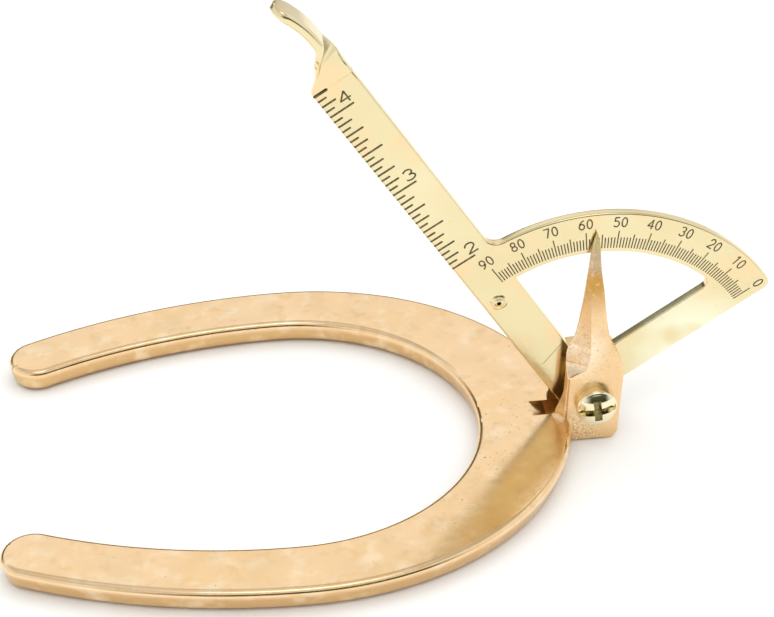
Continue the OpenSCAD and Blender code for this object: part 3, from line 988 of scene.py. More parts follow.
@dataclass
class ProtractorArm:
    """Brass arm: ruler, quarter-circle scale and limb in one sheet, with a twisted finger tab."""

    angle: float = 57.0
    side: float = 0.6
    drop: float = 0.38
    scale_turn: float = 1.75
    offset: float = 8.9
    ruler_w: float = 10.6
    plate_end: float = 109.0
    ruler_len: float = 109.3
    outer_r: float = 50.4
    inner_r: float = 39.8
    below: float = 2.5
    limb_w: float = 10.05
    limb_end_r: float = 2.0
    limb_steps: int = 12
    pivot_r: float = 7.2
    heel_r: float = 4.0
    heel_up: float = 1.5
    heel_turn: float = 228.5
    back_turn: float = 195.1
    fillet_r: float = 3.5
    edge_r: float = 0.55
    window_r: float = 0.3
    window_end_r: float = 2.0
    bore_r: float = 2.55
    bore_edge_r: float = 0.1
    bore_half: int = 24
    neck_w: float = 6.0
    neck_len: float = 5.0
    neck_draw: float = 0.5
    twist_up: float = 1.4
    twist_len: float = 8.4
    tab_sunk: float = 0.35
    tab_rise: float = 10.6
    tab_w: float = 7.8
    tab_shift: float = 0.8
    tab_curl: float = 22.0
    tab_curl_len: float = 8.5
    tab_end_turn: float = 86.0
    tab_proud: float = 0.012
    tab_thin: float = 0.05
    tab_tip_thin: float = 0.45
    tab_soft: float = 0.5

    def place(self) -> Placement:
        """Placement of pieces drawn on the upright arm about the scale's centre."""
        turn = math.radians(self.angle - 90)
        centre = Placement((PIVOT.x, 0.0, PIVOT.z), turn).to_frame(np.array([self.side, 0.0, -self.drop]))
        return Placement(tuple(centre), turn)

    def scale_point(self, points: Array) -> Array:
        """Turns points of the scale's frame into the ruler's frame."""
        c, s = math.cos(math.radians(self.scale_turn)), math.sin(math.radians(self.scale_turn))
        x, y = np.moveaxis(points, -1, 0)
        return np.stack([x * c - y * s, x * s + y * c], axis=-1)

    def limb_round(self, line: float, radius: float, scale_r: float) -> tuple[Array, float]:
        """Round between a line along the limb and a circle of the scale.

        Args:
            line: Height of the line over the scale's centre, in the scale's frame.
            radius: Radius of the round.
            scale_r: Radius of the circle.

        Returns:
            Points of the round, and the angle at which it meets the circle, both in the ruler's frame.
        """
        y = line + radius
        x = math.sqrt((scale_r - radius) ** 2 - y**2)
        angle = math.degrees(math.atan2(y, x))
        return self.scale_point(arc((x, y), radius, 270, 360 + angle, 9)), angle + self.scale_turn

    def window(self) -> Array:
        """Outline of the window: limb's upper edge, a round, the inner arc and the ruler's edge."""
        right = self.ruler_w - self.offset
        top = self.limb_w - self.below
        t = math.radians(self.scale_turn)
        low = np.array([right, (top + right * math.sin(t)) / math.cos(t)])
        end, far_angle = self.limb_round(top, self.window_end_r, self.inner_r)
        near_angle = math.degrees(math.acos(right / self.inner_r))
        curve = arc((0, 0), self.inner_r, far_angle, near_angle, 60)
        limb = np.linspace(low, end[0], self.limb_steps)
        edge = np.linspace(curve[-1], low, 14)
        return np.concatenate([limb, end[1:], curve[1:], edge[1:-1]])

    def outline(self) -> tuple[Array, int]:
        """Outer outline of the sheet, counter-clockwise from under the pivot.

        Returns:
            The points, and the place of the limb's end among them.
        """
        right = self.ruler_w - self.offset
        pivot = (-self.side, self.drop)
        dip = math.degrees(math.asin((self.below + self.drop) / self.pivot_r))
        pivot_end = arc(pivot, self.pivot_r, 270, 360 - dip + self.scale_turn, 16)
        corner, end_angle = self.limb_round(-self.below, self.limb_end_r, self.outer_r)
        limb = np.linspace(pivot_end[-1], corner[0], 14)[1:-1]
        mid_x = right + self.fillet_r
        mid_y = math.sqrt((self.outer_r + self.fillet_r) ** 2 - mid_x**2)
        touch = math.degrees(math.atan2(mid_y, mid_x))
        rim = arc((0, 0), self.outer_r, end_angle, touch, 90)
        fillet = arc((mid_x, mid_y), self.fillet_r, touch - 180, -180, 12)
        edge = np.linspace([right, mid_y], [right, self.plate_end], 20)[1:]
        left = np.linspace([-self.offset, self.plate_end], [-self.offset, self.heel_up], 40)
        heel = arc((self.heel_r - self.offset, self.heel_up), self.heel_r, 180, self.heel_turn, 6)[1:-1]
        back = arc(pivot, self.pivot_r, self.back_turn, 270, 14)[:-1]
        points = np.concatenate([pivot_end, limb, corner, rim[1:], fillet[1:], edge, left, heel, back])
        return points, len(pivot_end) + len(limb) + len(corner) // 2

    def rim(self, outline: Array, radius: float, inward: float) -> Array:
        """Rounded wall along an outline, from the sheet's front to its back.

        The outline is carried along a quarter circle, a straight wall and a quarter circle.

        Args:
            outline: Points of the outline.
            radius: Radius of the wall's two rounds.
            inward: 1 for an outer outline, -1 for a window.

        Returns:
            Points by level, place along the outline and coordinate.
        """
        turn = np.radians(np.linspace(0, 90, 5))
        inset = radius * (1 - np.sin(turn))
        deep = PIVOT.arm_half - radius * (1 - np.cos(turn))
        y = np.concatenate([-deep, deep[::-1]])
        level = np.stack([offset_outline(outline, inward * d) for d in (*inset, *inset[::-1])])
        return np.stack([level[..., 0], np.broadcast_to(y[:, None], level.shape[:2]), level[..., 1]], axis=-1)

    def sheet(self) -> Surface:
        """Flat sheet with rounded walls round its outline, its window and its bore.

        The two flat sides are split into two polygons each: a seam runs from the outline through the bore
        to the window, and another one from the window to the limb's end.

        Returns:
            The closed surface of the sheet.
        """
        outer, limb_end = self.outline()
        half = self.bore_half
        bore = arc((-self.side, self.drop), self.bore_r, 270, 630, 2 * half + 1)[:-1]
        walls = [
            self.rim(outer, self.edge_r, 1.0),
            self.rim(self.window(), self.window_r, -1.0),
            self.rim(bore, self.bore_edge_r, -1.0),
        ]
        rows = len(walls[0])
        size = np.array([wall.shape[1] for wall in walls])
        starts = rows * np.cumsum([0, *size[:-1]])
        quads = [grid_faces(rows, n) + start for n, start in zip(size, starts)]
        quads[0] = quads[0][:, ::-1]
        at_window, at_bore = starts[1:]
        corner = self.limb_steps - 1
        right = at_bore + np.arange(half, -1, -1)
        left = at_bore + np.concatenate([[0], np.arange(2 * half - 1, half - 1, -1)])
        below = at_window + np.arange(corner, -1, -1)
        above = at_window + np.concatenate([[0], np.arange(size[1] - 1, corner - 1, -1)])
        first = np.concatenate([np.arange(limb_end + 1), below, right])
        second = np.concatenate([np.arange(limb_end, size[0]), [0], left, above])
        sides = []
        for side in (first, second):
            wall = np.searchsorted(starts[1:], side, side="right")
            sides += [side[None], (side + (rows - 1) * size[wall])[::-1][None]]
        points = np.concatenate([wall.reshape(-1, 3) for wall in walls])
        return Surface(points, (*quads, *sides)).outward()

    def tab(self) -> Surface:
        """Finger tab: a rounded strip that narrows, twists by a quarter turn, curls and ends in a round.

        The strip's middle runs straight up the ruler and then along a circle; its width direction turns from
        across the ruler to across the sheet, while the middle is drawn aside so that the back stays straight.

        Returns:
            The closed surface of the tab.
        """
        right = self.ruler_w - self.offset
        last = math.radians(self.tab_curl)
        straight = np.linspace(self.plate_end - self.tab_sunk, self.ruler_len + self.tab_rise, 44)
        curl = np.linspace(0, last, 20)[1:]
        end = np.radians(np.linspace(0, self.tab_end_turn, 14))[1:]
        past = np.ones(len(curl) + len(end))
        twist_start = self.ruler_len + self.twist_up
        share = risen(straight, twist_start, twist_start + self.twist_len)
        ease = share**2 * (3 - 2 * share)
        neck = risen(straight, self.ruler_len, self.ruler_len + self.neck_len)
        narrow = self.ruler_w + (self.neck_w - self.ruler_w) * neck * (1.5 - 0.5 * neck)
        mid_v = right - narrow / 2 + self.tab_shift * ease - self.neck_draw * 4 * ease * (1 - ease)
        radius = self.tab_curl_len / last
        reach = np.sin(end) * self.tab_w / 2
        end_v = mid_v[-1] - radius * (1 - math.cos(last)) - math.sin(last) * reach
        end_u = straight[-1] + radius * math.sin(last) + math.cos(last) * reach
        v = np.concatenate([mid_v, mid_v[-1] - radius * (1 - np.cos(curl)), end_v])
        u = np.concatenate([straight, straight[-1] + radius * np.sin(curl), end_u])
        wide = narrow * (1 - ease) + self.tab_w * ease
        width = np.concatenate([wide, np.full(len(curl), self.tab_w), self.tab_w * np.cos(end)])
        turn = np.concatenate([np.zeros(len(straight)), curl, np.full(len(end), last)])
        soft = np.concatenate([ease, past])
        twist = soft * np.pi / 2
        taper = 1 - self.tab_tip_thin * (1 - np.cos(end))
        half = PIVOT.arm_half + self.tab_proud - self.tab_thin * soft
        thick = half * np.concatenate([np.ones(len(straight) + len(curl)), taper])
        signs = np.array([(-1, -1), (1, -1), (1, 1), (-1, 1)])
        corners = signs * np.stack([width / 2, thick], axis=-1)[:, None]
        ring = softened(corners, (self.edge_r + self.tab_soft * soft)[:, None], 7)
        side = np.stack([np.cos(turn), np.zeros_like(turn), np.sin(turn)], axis=-1)
        depth = np.array([0.0, 1.0, 0.0])
        across = side * np.cos(twist)[:, None] + depth * np.sin(twist)[:, None]
        through = depth * np.cos(twist)[:, None] - side * np.sin(twist)[:, None]
        middle = np.stack([v, np.zeros_like(v), u], axis=-1)
        return tube(middle[:, None] + ring[..., :1] * across[:, None] + ring[..., 1:] * through[:, None])

    def build(self) -> bpy.types.Object:
        """Builds and dresses the arm."""
        surface = joined([self.sheet(), self.tab()]).moved(self.place())
        return add_piece("protractor_arm_look", surface, ROLLED_BRASS, Body.ARM, ("protractor_arm",), 38.0)


@dataclass
class Graduations:
    """Degree marks, inch marks and plain numerals, filled dark in the arm's front face."""

    arm: ProtractorArm
    lift: float = 0.012
    stroke_lift: float = 0.001
    sunk: float = 0.25
    point: float = 0.7
    tick_w: float = 0.30
    tick_start: float = 40.9
    tick_ends: tuple[float, float, float] = (45.5, 44.6, 43.7)
    degree_pen: float = 0.36
    degree_r: float = 47.9
    degree_size: tuple[float, float] = (2.2, 2.5)
    inch: float = 25.4
    inch_start: float = 0.6
    inch_range: tuple[int, int] = (32, 68)
    inch_edge: float = 0.25
    inch_lengths: tuple[float, ...] = (6.2, 5.3, 4.4, 3.5)
    sixteenth_length: float = 2.1
    mark_w: float = 0.50
    last_length: float = 3.3
    last_w: float = 0.75
    inch_pen: float = 0.42
    inch_up: float = 2.4
    inch_size: tuple[float, float] = (4.2, 2.8)
    inch_sides: Track = ((2, -2.2), (3, -2.8), (4, -3.4))
    digit_pitch: float = 0.86
    digit_middle: tuple[float, float] = (0.3, 0.5)
    scribed: tuple[tuple[float, float], tuple[float, float]] = ((-6.0, 14.0), (1.2, 16.6))
    scribe_w: float = 0.12

    def solid(self, outlines: Array, order: int = 0) -> Surface:
        """Flat prisms from outlines on the arm's front face.

        Args:
            outlines: Points by outline, place and coordinate in the ruler's frame.
            order: Raises the prisms by a hair per step, so that crossing strokes don't share a face.

        Returns:
            One surface with a closed prism per outline.
        """
        count, corners = outlines.shape[:2]
        front = -PIVOT.arm_half - self.lift - self.stroke_lift * order
        levels = np.array([front, -PIVOT.arm_half + self.sunk])
        points = np.empty((count, 2, corners, 3))
        points[..., 0] = outlines[:, None, :, 0]
        points[..., 2] = outlines[:, None, :, 1]
        points[..., 1] = levels[None, :, None]
        base = (np.arange(count) * 2 * corners)[:, None]
        near = base + np.arange(corners)
        after = base + (np.arange(corners) + 1) % corners
        sides = np.stack([near, near + corners, after + corners, after], axis=-1).reshape(-1, 4)
        return Surface(points.reshape(-1, 3), (sides, near, (near + corners)[:, ::-1])).outward()

    def bars(self, start: Array, end: Array, width: Array | float) -> Surface:
        """Straight marks with pointed ends: six corners set off along and across each mark.

        Args:
            start: First points of the marks.
            end: Last points of the marks.
            width: Width of all marks, or of each one.

        Returns:
            One surface with a closed prism per mark.
        """
        along = end - start
        along = along / np.linalg.norm(along, axis=-1, keepdims=True)
        half = np.broadcast_to(np.asarray(width) / 2, (len(start),))[:, None]
        across = np.stack([-along[:, 1], along[:, 0]], axis=-1) * half
        tip = along * half * self.point
        six = [start - tip, start - across, end - across, end + tip, end + across, start + across]
        return self.solid(np.stack(six, axis=1))

    def degree_marks(self) -> Surface:
        """Radial marks from 0 to 90 degrees, longer at every fifth and tenth."""
        degree = np.arange(91)
        ten, five, one = self.tick_ends
        reach = np.where(degree % 10 == 0, ten, np.where(degree % 5 == 0, five, one))
        angle = np.radians(degree)
        ray = self.arm.scale_point(np.stack([np.cos(angle), np.sin(angle)], axis=-1))
        return self.bars(ray * self.tick_start, ray * reach[:, None], self.tick_w)

    def inch_marks(self) -> Surface:
        """Marks square to the measuring edge at every sixteenth, longer for coarser parts of the inch."""
        first, last = self.inch_range
        sixteenth = np.arange(first, last + 1)
        coarser = [sixteenth % part == 0 for part in (16, 8, 4, 2)]
        length = np.select(coarser, self.inch_lengths, default=self.sixteenth_length)
        length = np.where(sixteenth == last, self.last_length, length)
        width = np.where(sixteenth == last, self.last_w, self.mark_w)
        u = self.inch * sixteenth / 16 + self.inch_start
        edge = np.full(len(u), self.inch_edge - self.arm.offset)
        marks = self.bars(np.stack([edge, u], axis=-1), np.stack([edge + length, u], axis=-1), width)
        start, end = np.array(self.scribed)[:, None]
        return joined([marks, self.bars(start, end, self.scribe_w)])

    def strokes(self, digit: str) -> list[Array]:
        """Paths of a plain digit, one high and about 0.6 wide, made of arcs and straight runs."""

        def bow(x: float, y: float, a: float, b: float, start: float, end: float) -> Array:
            """Points of an ellipse arc between two angles in degrees."""
            t = np.radians(np.linspace(start, end, 15))
            return np.stack([x + a * np.cos(t), y + b * np.sin(t)], axis=-1)

        def runs(*corners: tuple[float, float]) -> list[Array]:
            """Straight runs from corner to corner."""
            return [np.linspace(start, end, 4) for start, end in zip(corners, corners[1:])]

        six_top = [[0.50, 0.98], [0.30, 0.88], [0.12, 0.66]]
        six = np.concatenate([six_top, bow(0.3, 0.3, 0.28, 0.3, 160, -195)])
        two = np.concatenate([bow(0.3, 0.70, 0.27, 0.30, 170, -35), [[0.03, 0.0]]])
        shapes = {
            "0": [bow(0.3, 0.5, 0.28, 0.5, 90, 450)],
            "1": runs((0.14, 0.80), (0.36, 1.0), (0.36, 0.0)),
            "2": [two, *runs((0.03, 0.0), (0.6, 0.0))],
            "3": [bow(0.28, 0.75, 0.25, 0.25, 150, -85), bow(0.28, 0.26, 0.30, 0.26, 85, -150)],
            "4": runs((0.46, 0.0), (0.46, 1.0), (0.0, 0.30), (0.62, 0.30)),
            "5": [*runs((0.54, 1.0), (0.12, 1.0), (0.08, 0.58)), bow(0.28, 0.32, 0.30, 0.32, 122, -140)],
            "6": [six],
            "7": runs((0.0, 1.0), (0.6, 1.0), (0.24, 0.0)),
            "8": [bow(0.3, 0.75, 0.23, 0.25, 270, -90), bow(0.3, 0.26, 0.28, 0.26, 90, 450)],
            "9": [np.array([0.6, 1.0]) - six],
        }
        return shapes[digit]

    def ribbon(self, path: Array, width: float, order: int) -> Surface:
        """A stroke of even width along a path: the path set off to both sides, back to back."""
        step = np.gradient(path, axis=0)
        step = step / np.linalg.norm(step, axis=1, keepdims=True)
        across = np.stack([-step[:, 1], step[:, 0]], axis=-1) * width / 2
        tips = np.stack([path[0] - step[0] * width / 2.5, path[-1] + step[-1] * width / 2.5])
        outline = np.concatenate([tips[:1], path - across, tips[1:], (path + across)[::-1]])
        return self.solid(outline[None], order)

    def number(
        self, text: str, centre: Array, up: Array, size: tuple[float, float], pen: float
    ) -> list[Surface]:
        """A plain number about a point, its digits side by side and upright along a direction.

        Args:
            text: Digits of the number.
            centre: Middle of the number in the ruler's frame.
            up: Direction of the digits' height.
            size: Width and height of a digit's drawing.
            pen: Width of the strokes.

        Returns:
            One surface per stroke.
        """
        right = np.array([up[1], -up[0]])
        wide, height = size
        mid_x, mid_y = self.digit_middle
        surfaces = []
        for place, digit in enumerate(text):
            shift = (place - (len(text) - 1) / 2) * self.digit_pitch * wide
            for order, stroke in enumerate(self.strokes(digit)):
                x = (stroke[:, :1] - mid_x) * wide + shift
                y = (stroke[:, 1:] - mid_y) * height
                surfaces.append(self.ribbon(centre + x * right + y * up, pen, order + 1))
        return surfaces

    def numerals(self) -> Surface:
        """Tens of degrees outside the scale, and inches above their marks."""
        surfaces = []
        for degree in range(0, 91, 10):
            angle = math.radians(degree)
            ray = self.arm.scale_point(np.array([math.cos(angle), math.sin(angle)]))
            surfaces += self.number(str(degree), ray * self.degree_r, ray, self.degree_size, self.degree_pen)
        up = np.array([0.0, 1.0])
        for inches, v in self.inch_sides:
            centre = np.array([v, self.inch * inches + self.inch_start + self.inch_up])
            surfaces += self.number(str(inches), centre, up, self.inch_size, self.inch_pen)
        return joined(surfaces)

    def build(self) -> list[bpy.types.Object]:
        """Builds and dresses the marks and the numerals."""
        place = self.arm.place()
        return [
            add_piece("degree_marks", self.degree_marks().moved(place), ENGRAVING, Body.ARM),
            add_piece("inch_marks", self.inch_marks().moved(place), ENGRAVING, Body.ARM),
            add_piece("numerals", self.numerals().moved(place), ENGRAVING, Body.ARM),
        ]


@dataclass
class PivotFittings:
    """Screw through the fork with its nut and washers, and the stop rivet in the ruler."""

    arm: ProtractorArm
    screw_r: float = 2.5
    head_r: float = 5.0
    head_h: float = 4.0
    rim_h: float = 2.2
    rim_r: float = 0.5
    rim_fall: float = 0.9
    head_bevel: float = 0.15
    slot_w: float = 1.8
    slot_depth: float = 2.1
    cross_len: float = 5.8
    cross_depth: float = 2.9
    recess_turn: float = 7.0
    recess_wall: float = 0.12
    thread_pitch: float = 0.8
    thread_depth: float = 0.35
    thread_back: float = 1.0
    thread_step: float = 0.08
    end_bevel: float = 0.6
    end_bevel_len: float = 0.3
    tail: float = 1.5
    hole_gap: float = 0.05
    washer_r: float = 6.0
    washer_soft: float = 0.15
    spring_sheet: float = 0.8
    spring_soft: float = 0.1
    nut_washer_r: float = 5.0
    nut_washer_h: float = 1.0
    nut_af: float = 8.0
    nut_h: float = 4.0
    nut_face_r: float = 3.95
    nut_rounding: float = 0.15
    nut_countersink: tuple[float, float] = (0.4, 0.35)
    nut_cone: tuple[float, float] = (0.5, 0.7)
    rivet_up: float = 36.4
    rivet_side: float = 5.1
    rivet_r: float = 2.15
    rivet_h: float = 0.7
    groove_r: float = 1.4
    groove_w: float = 0.17
    groove_depth: float = 0.16
    punch_r: float = 0.40
    punch_depth: float = 0.90

    def head_top(self, radius: Array, angle: Array) -> tuple[Array, Array]:
        """Crown of the head, and the same lowered to the recess floor inside the slot and the cross.

        The crown is a circle over the head's radius. The slot runs right across, and the cross is the
        larger of two bars' distances from their sides; both fall to their floor within a thin wall.

        Args:
            radius: Radii of the crown's points.
            angle: Angles round the axis, in radians.

        Returns:
            Heights of the crown by radius, and heights of the top by radius and angle.
        """
        drop = self.head_h - self.rim_h
        crown_r = (self.head_r**2 + drop**2) / (2 * drop)
        crown = self.head_h - crown_r + np.sqrt(crown_r**2 - radius**2)
        phi = angle - math.radians(self.recess_turn)
        x, z = np.abs(radius[:, None] * np.cos(phi)), np.abs(radius[:, None] * np.sin(phi))
        half, reach = self.slot_w / 2, self.cross_len / 2
        in_cross = np.maximum(np.minimum(half - x, reach - z), np.minimum(half - z, reach - x))
        high = crown[:, None]
        slot, cross = (
            high + np.minimum(self.head_h - depth - high, 0) * np.clip(inside / self.recess_wall, 0, 1)
            for depth, inside in ((self.slot_depth, half - z), (self.cross_depth, in_cross))
        )
        return crown, np.minimum(slot, cross)

    def screw(self) -> Surface:
        """Pan head with a slot and a cross recess, on a shank whose end is threaded.

        The head's crown ends in a rounded rim. The thread is a triangle wave that climbs one pitch per turn.

        Returns:
            The closed surface of the screw, drawn about the pivot axis.
        """
        angle = full_turn(240)

        def rows(*values: float) -> Array:
            """Values that are the same all the way round, one row each."""
            return np.repeat(np.array(values)[:, None], len(angle), axis=1)

        top_r = np.concatenate([[0], np.linspace(0.03, self.head_r - self.rim_r, 78)])
        crown, top = self.head_top(top_r, angle)
        bend = np.radians(np.linspace(0, 90, 8))[1:]
        rim_r = self.head_r - self.rim_r + self.rim_r * np.sin(bend)
        rim_h = crown[-1] - self.rim_fall * (1 - np.cos(bend))
        span = PIVOT.ear_rear - PIVOT.ear_front
        shank_end = span + self.nut_washer_h + self.nut_h + self.tail
        thread_start = span - self.thread_back
        thread_h = np.arange(thread_start, shank_end - self.end_bevel_len, self.thread_step)
        phase = (thread_h[:, None] / self.thread_pitch - angle / (2 * np.pi)) % 1
        thread_r = self.screw_r - self.thread_depth * np.abs(2 * phase - 1)
        bevel = self.head_bevel
        low_r = rows(self.head_r, self.head_r - bevel, self.screw_r, self.screw_r)
        low_h = rows(bevel, 0.0, 0.0, 0.1 - thread_start)
        end_r = rows(self.screw_r - self.end_bevel, 0.0)
        radius = np.concatenate([rows(*top_r), rows(*rim_r), low_r, thread_r, end_r])
        height = np.concatenate([top, rows(*rim_h), low_h, rows(*-thread_h), rows(-shank_end, -shank_end)])
        return turned_solid(radius, PIVOT.ear_front - height, angle)

    def ring(self, corners: list[tuple[float, float]], soft: float) -> Surface:
        """Ring about the axis from its profile's corners, by radius and place, with softened edges."""
        profile = softened(np.array(corners), soft, 4)
        return turned_ring(profile[:, :1], profile[:, 1:], full_turn(72))

    def washer(self, radius: float, front: float, back: float) -> Surface:
        """Flat ring between two places on the axis."""
        hole = self.screw_r + self.hole_gap
        return self.ring([(hole, front), (radius, front), (radius, back), (hole, back)], self.washer_soft)

    def spring(self) -> Surface:
        """Coned ring: a thin slanted strip turned about the axis."""
        hole, edge, sheet = self.screw_r + self.hole_gap, self.washer_r, self.spring_sheet
        front, back = PIVOT.slot_front, PIVOT.washer_front
        corners = [(hole, front), (edge, back - sheet), (edge, back), (hole, front + sheet)]
        return self.ring(corners, self.spring_soft)

    def nut(self) -> Surface:
        """Hexagon nut: the hexagon's radius over the angle, cut back by a cone at both ends."""
        hole = self.screw_r + self.hole_gap
        corner = self.nut_af / math.sqrt(3)
        sink_r, sink_h = self.nut_countersink
        limit = np.array([hole, hole + sink_r, self.nut_face_r, corner - self.nut_rounding, corner])
        rise = np.array([sink_h, 0.0, 0.0, *self.nut_cone])
        limit = np.concatenate([limit, limit[::-1]])[:, None]
        rise = np.concatenate([rise, self.nut_h - rise[::-1]])[:, None]
        angle = full_turn(144)
        side = self.nut_af / 2 / np.cos((angle % (np.pi / 3)) - np.pi / 6)
        start = PIVOT.ear_rear + self.nut_washer_h
        return turned_ring(np.minimum(limit, side), rise + start, angle)

    def rivet(self) -> Surface:
        """Stop rivet: two domed heads back to back, with a groove and a punch mark in the front one.

        A dome is a circle over its radius. The groove falls by a bell curve round its own radius, and the
        punch mark by one of the fourth power round the middle.

        Returns:
            The closed surface of the rivet, drawn about its own axis.
        """
        dome_r = (self.rivet_r**2 + self.rivet_h**2) / (2 * self.rivet_h)
        r = np.linspace(0, self.rivet_r, 44)
        dome = np.sqrt(dome_r**2 - r**2) - (dome_r - self.rivet_h)
        groove = self.groove_depth * np.exp(-(((r - self.groove_r) / self.groove_w) ** 2))
        mark = self.punch_depth * np.exp(-((r / self.punch_r) ** 4)) + groove
        radius = np.concatenate([r, r[::-1]])[:, None]
        height = np.concatenate([mark - PIVOT.arm_half - dome, PIVOT.arm_half + dome[::-1]])[:, None]
        return turned_solid(radius, height, full_turn(72))

    def build(self) -> list[bpy.types.Object]:
        """Builds and dresses the fittings."""
        axis = PIVOT.axis()
        at_rivet = self.arm.place().to_frame(np.array([-self.rivet_side, 0.0, self.rivet_up]))
        front = self.washer(self.washer_r, PIVOT.washer_front, -PIVOT.arm_half - PIVOT.side_gap)
        behind = self.washer(self.nut_washer_r, PIVOT.ear_rear, PIVOT.ear_rear + self.nut_washer_h)
        pieces = [
            ("pivot_screw_look", self.screw(), "pivot_screw"),
            ("front_washer_look", front, "front_washer"),
            ("spring_washer_look", self.spring(), "spring_washer"),
            ("nut_washer_look", behind, "nut_washer"),
            ("pivot_nut_look", self.nut(), "pivot_nut"),
        ]
        made = [add_piece(n, s.moved(axis), TURNED_BRASS, Body.BASE, (node,), 30.0) for n, s, node in pieces]
        rivet = self.rivet().moved(Placement(tuple(at_rivet)))
        return made + [add_piece("stop_rivet_look", rivet, ROLLED_BRASS, Body.ARM, ("stop_rivet",), 50.0)]


@dataclass(frozen=True)
class RoomPart:
    """A part of the room: brightness over the height of the direction, about an azimuth in degrees.

    The part comes in between two cosines of the angle from its middle.
    """

    stops: Track
    azimuth: float
    low: float
    high: float


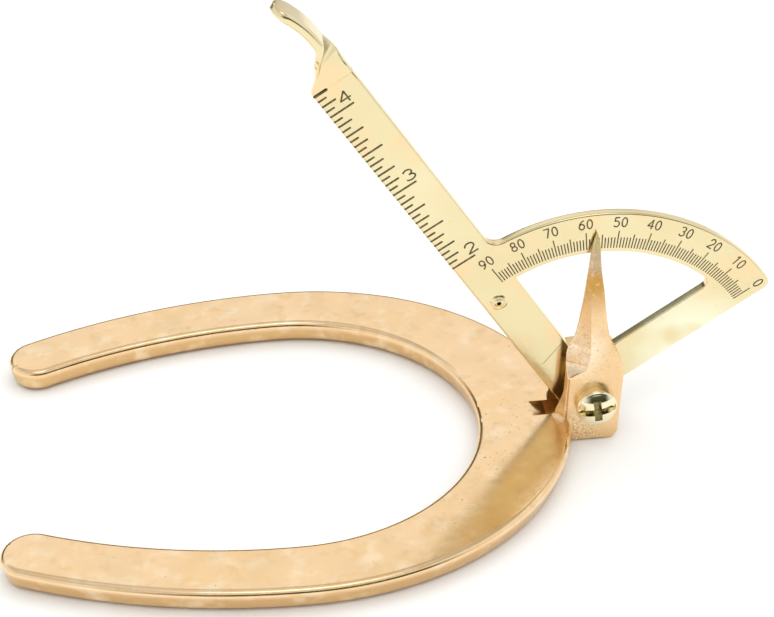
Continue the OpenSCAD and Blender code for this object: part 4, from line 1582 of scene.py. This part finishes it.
@dataclass
class Studio:
    """Pale floor, a soft light, the room round them and the camera of the photograph."""

    image_w: int = 774
    sensor_w: float = 36.0
    focal_px: float = 1963.24
    camera_at: Point = (-79.49, -379.78, 304.06)
    right: Point = (0.9918, -0.1277, -0.0099)
    down: Point = (-0.0808, -0.5638, -0.8219)
    clip_start: float = 0.01
    floor_half: float = 3.0
    floor_gap: float = 0.0002
    floor_tint: Tint = (0.93, 0.93, 0.92)
    floor_rough: float = 0.7
    softbox_at: Point = (0.2, -0.1, 2.4)
    softbox_size: float = 5.0
    softbox_power: float = 53.0
    dusk: Tint = (1.0, 1.06, 0.62)
    dusk_below: float = 0.3
    front_sky: Track = (
        (0.0, 0.04), (0.42, 0.08), (0.54, 0.90), (0.66, 0.90), (0.76, 0.66), (0.85, 0.70), (0.88, 2.4),
        (0.95, 2.4), (0.98, 0.80), (1.0, 0.80),
    )
    back_sky: Track = (
        (0.0, 0.10), (0.42, 0.12), (0.50, 1.02), (0.72, 1.05), (0.78, 0.56), (0.88, 0.60), (0.95, 0.80),
        (1.0, 0.80),
    )
    right_sky: Track = ((0.0, 0.90), (0.72, 1.0), (0.78, 0.50), (0.88, 0.55), (0.95, 0.80), (1.0, 0.80))
    left_sky: Track = ((0.0, 0.90), (0.5, 0.95), (0.75, 0.62), (1.0, 0.80))

    def camera(self) -> None:
        """Camera fitted to the photograph's degree marks, ruler and plate outline."""
        data = bpy.data.cameras.new("camera")
        data.sensor_width = self.sensor_w
        data.lens = self.focal_px * self.sensor_w / self.image_w
        data.clip_start = self.clip_start
        right = np.array(self.right) / np.linalg.norm(self.right)
        down = np.array(self.down) - right * np.dot(self.down, right)
        down /= np.linalg.norm(down)
        pose = np.eye(4)
        pose[:3, 0], pose[:3, 1], pose[:3, 2] = right, -down, -np.cross(right, down)
        pose[:3, 3] = np.array(self.camera_at) * MM
        camera = bpy.data.objects.new("camera", data)
        camera.matrix_world = Matrix(pose.tolist())
        bpy.context.scene.collection.objects.link(camera)
        bpy.context.scene.camera = camera

    def floor(self) -> None:
        """Large pale floor just under the plate."""
        half = self.floor_half
        corners = [(x * half, y * half, -self.floor_gap) for x, y in ((-1, -1), (1, -1), (1, 1), (-1, 1))]
        mesh = bpy.data.meshes.new("floor")
        mesh.from_pydata(corners, [], [(0, 1, 2, 3)])
        graph = MaterialGraph("pale floor")
        graph.give("Base Color", (*self.floor_tint, 1.0))
        graph.give("Roughness", self.floor_rough)
        mesh.materials.append(graph.result)
        floor = bpy.data.objects.new("floor", mesh)
        bpy.context.scene.collection.objects.link(floor)

    def light(self) -> None:
        """One large soft box that lights the floor and keeps out of the metal's reflections."""
        data = bpy.data.lights.new("soft box", "AREA")
        data.shape = "DISK"
        data.size = self.softbox_size
        data.energy = self.softbox_power
        lamp = bpy.data.objects.new("soft box", data)
        lamp.location = self.softbox_at
        lamp.visible_glossy = False
        lamp.rotation_euler = lamp.location.to_track_quat("Z", "Y").to_euler()
        bpy.context.scene.collection.objects.link(lamp)

    def brightness(self, graph: Graph, stops: Track) -> Socket:
        """Brightness over the height of the direction, tinted where it is dark.

        Args:
            graph: The room's node tree.
            stops: Heights of the direction and the brightness at each.

        Returns:
            The socket with the colour.
        """
        node = graph.node("ValToRGB")
        elements = node.color_ramp.elements
        while len(elements) < len(stops):
            elements.new(0.5)
        for element, (place, level) in zip(elements, stops):
            element.position = place
            tint = self.dusk if level < self.dusk_below else (1.0, 1.0, 1.0)
            element.color = (*(level * t for t in tint), 1.0)
        graph.feed(node.inputs["Fac"], graph.height())
        return node.outputs["Color"]

    def sky(self) -> None:
        """A room that is dark low in front and behind, with pale walls above and open sides.

        Each part of the room is a run of brightness over the direction's height. The parts are blended by
        the cosine between the direction's plan and the middle of the part.
        """
        world = bpy.data.worlds.new("studio room")
        world.use_nodes = True
        bpy.context.scene.world = world
        graph = Graph(world.node_tree, "Generated")
        plan = graph.vector("MULTIPLY", graph.place, (1.0, 1.0, 0.0)).outputs["Vector"]
        plan = graph.vector("NORMALIZE", plan).outputs["Vector"]
        colour = self.brightness(graph, self.front_sky)
        for part in (
            RoomPart(self.back_sky, 80.0, 0.05, 0.35),
            RoomPart(self.right_sky, 15.0, 0.35, 0.75),
            RoomPart(self.left_sky, 195.0, 0.45, 0.85),
        ):
            middle = math.radians(part.azimuth)
            cosine = graph.vector("DOT_PRODUCT", plan, (math.cos(middle), math.sin(middle), 0.0))
            share = graph.spread(cosine.outputs["Value"], part.low, part.high, curve="SMOOTHSTEP")
            colour = graph.blend(share, colour, self.brightness(graph, part.stops))
        graph.feed(graph.tree.nodes["Background"].inputs["Color"], colour)

    def build(self) -> None:
        """Builds the stage, with plain display colours so that white stays white."""
        bpy.context.scene.view_settings.view_transform = "Standard"
        self.camera()
        self.floor()
        self.light()
        self.sky()


def main() -> None:
    """Builds the gauge and its stage."""
    logging.basicConfig(level=logging.INFO, format="%(message)s")
    Studio().build()
    ShoePlate().build()
    PointerBracket().build()
    arm = ProtractorArm()
    arm.build()
    Graduations(arm).build()
    PivotFittings(arm).build()


if __name__ == "__main__":
    main()
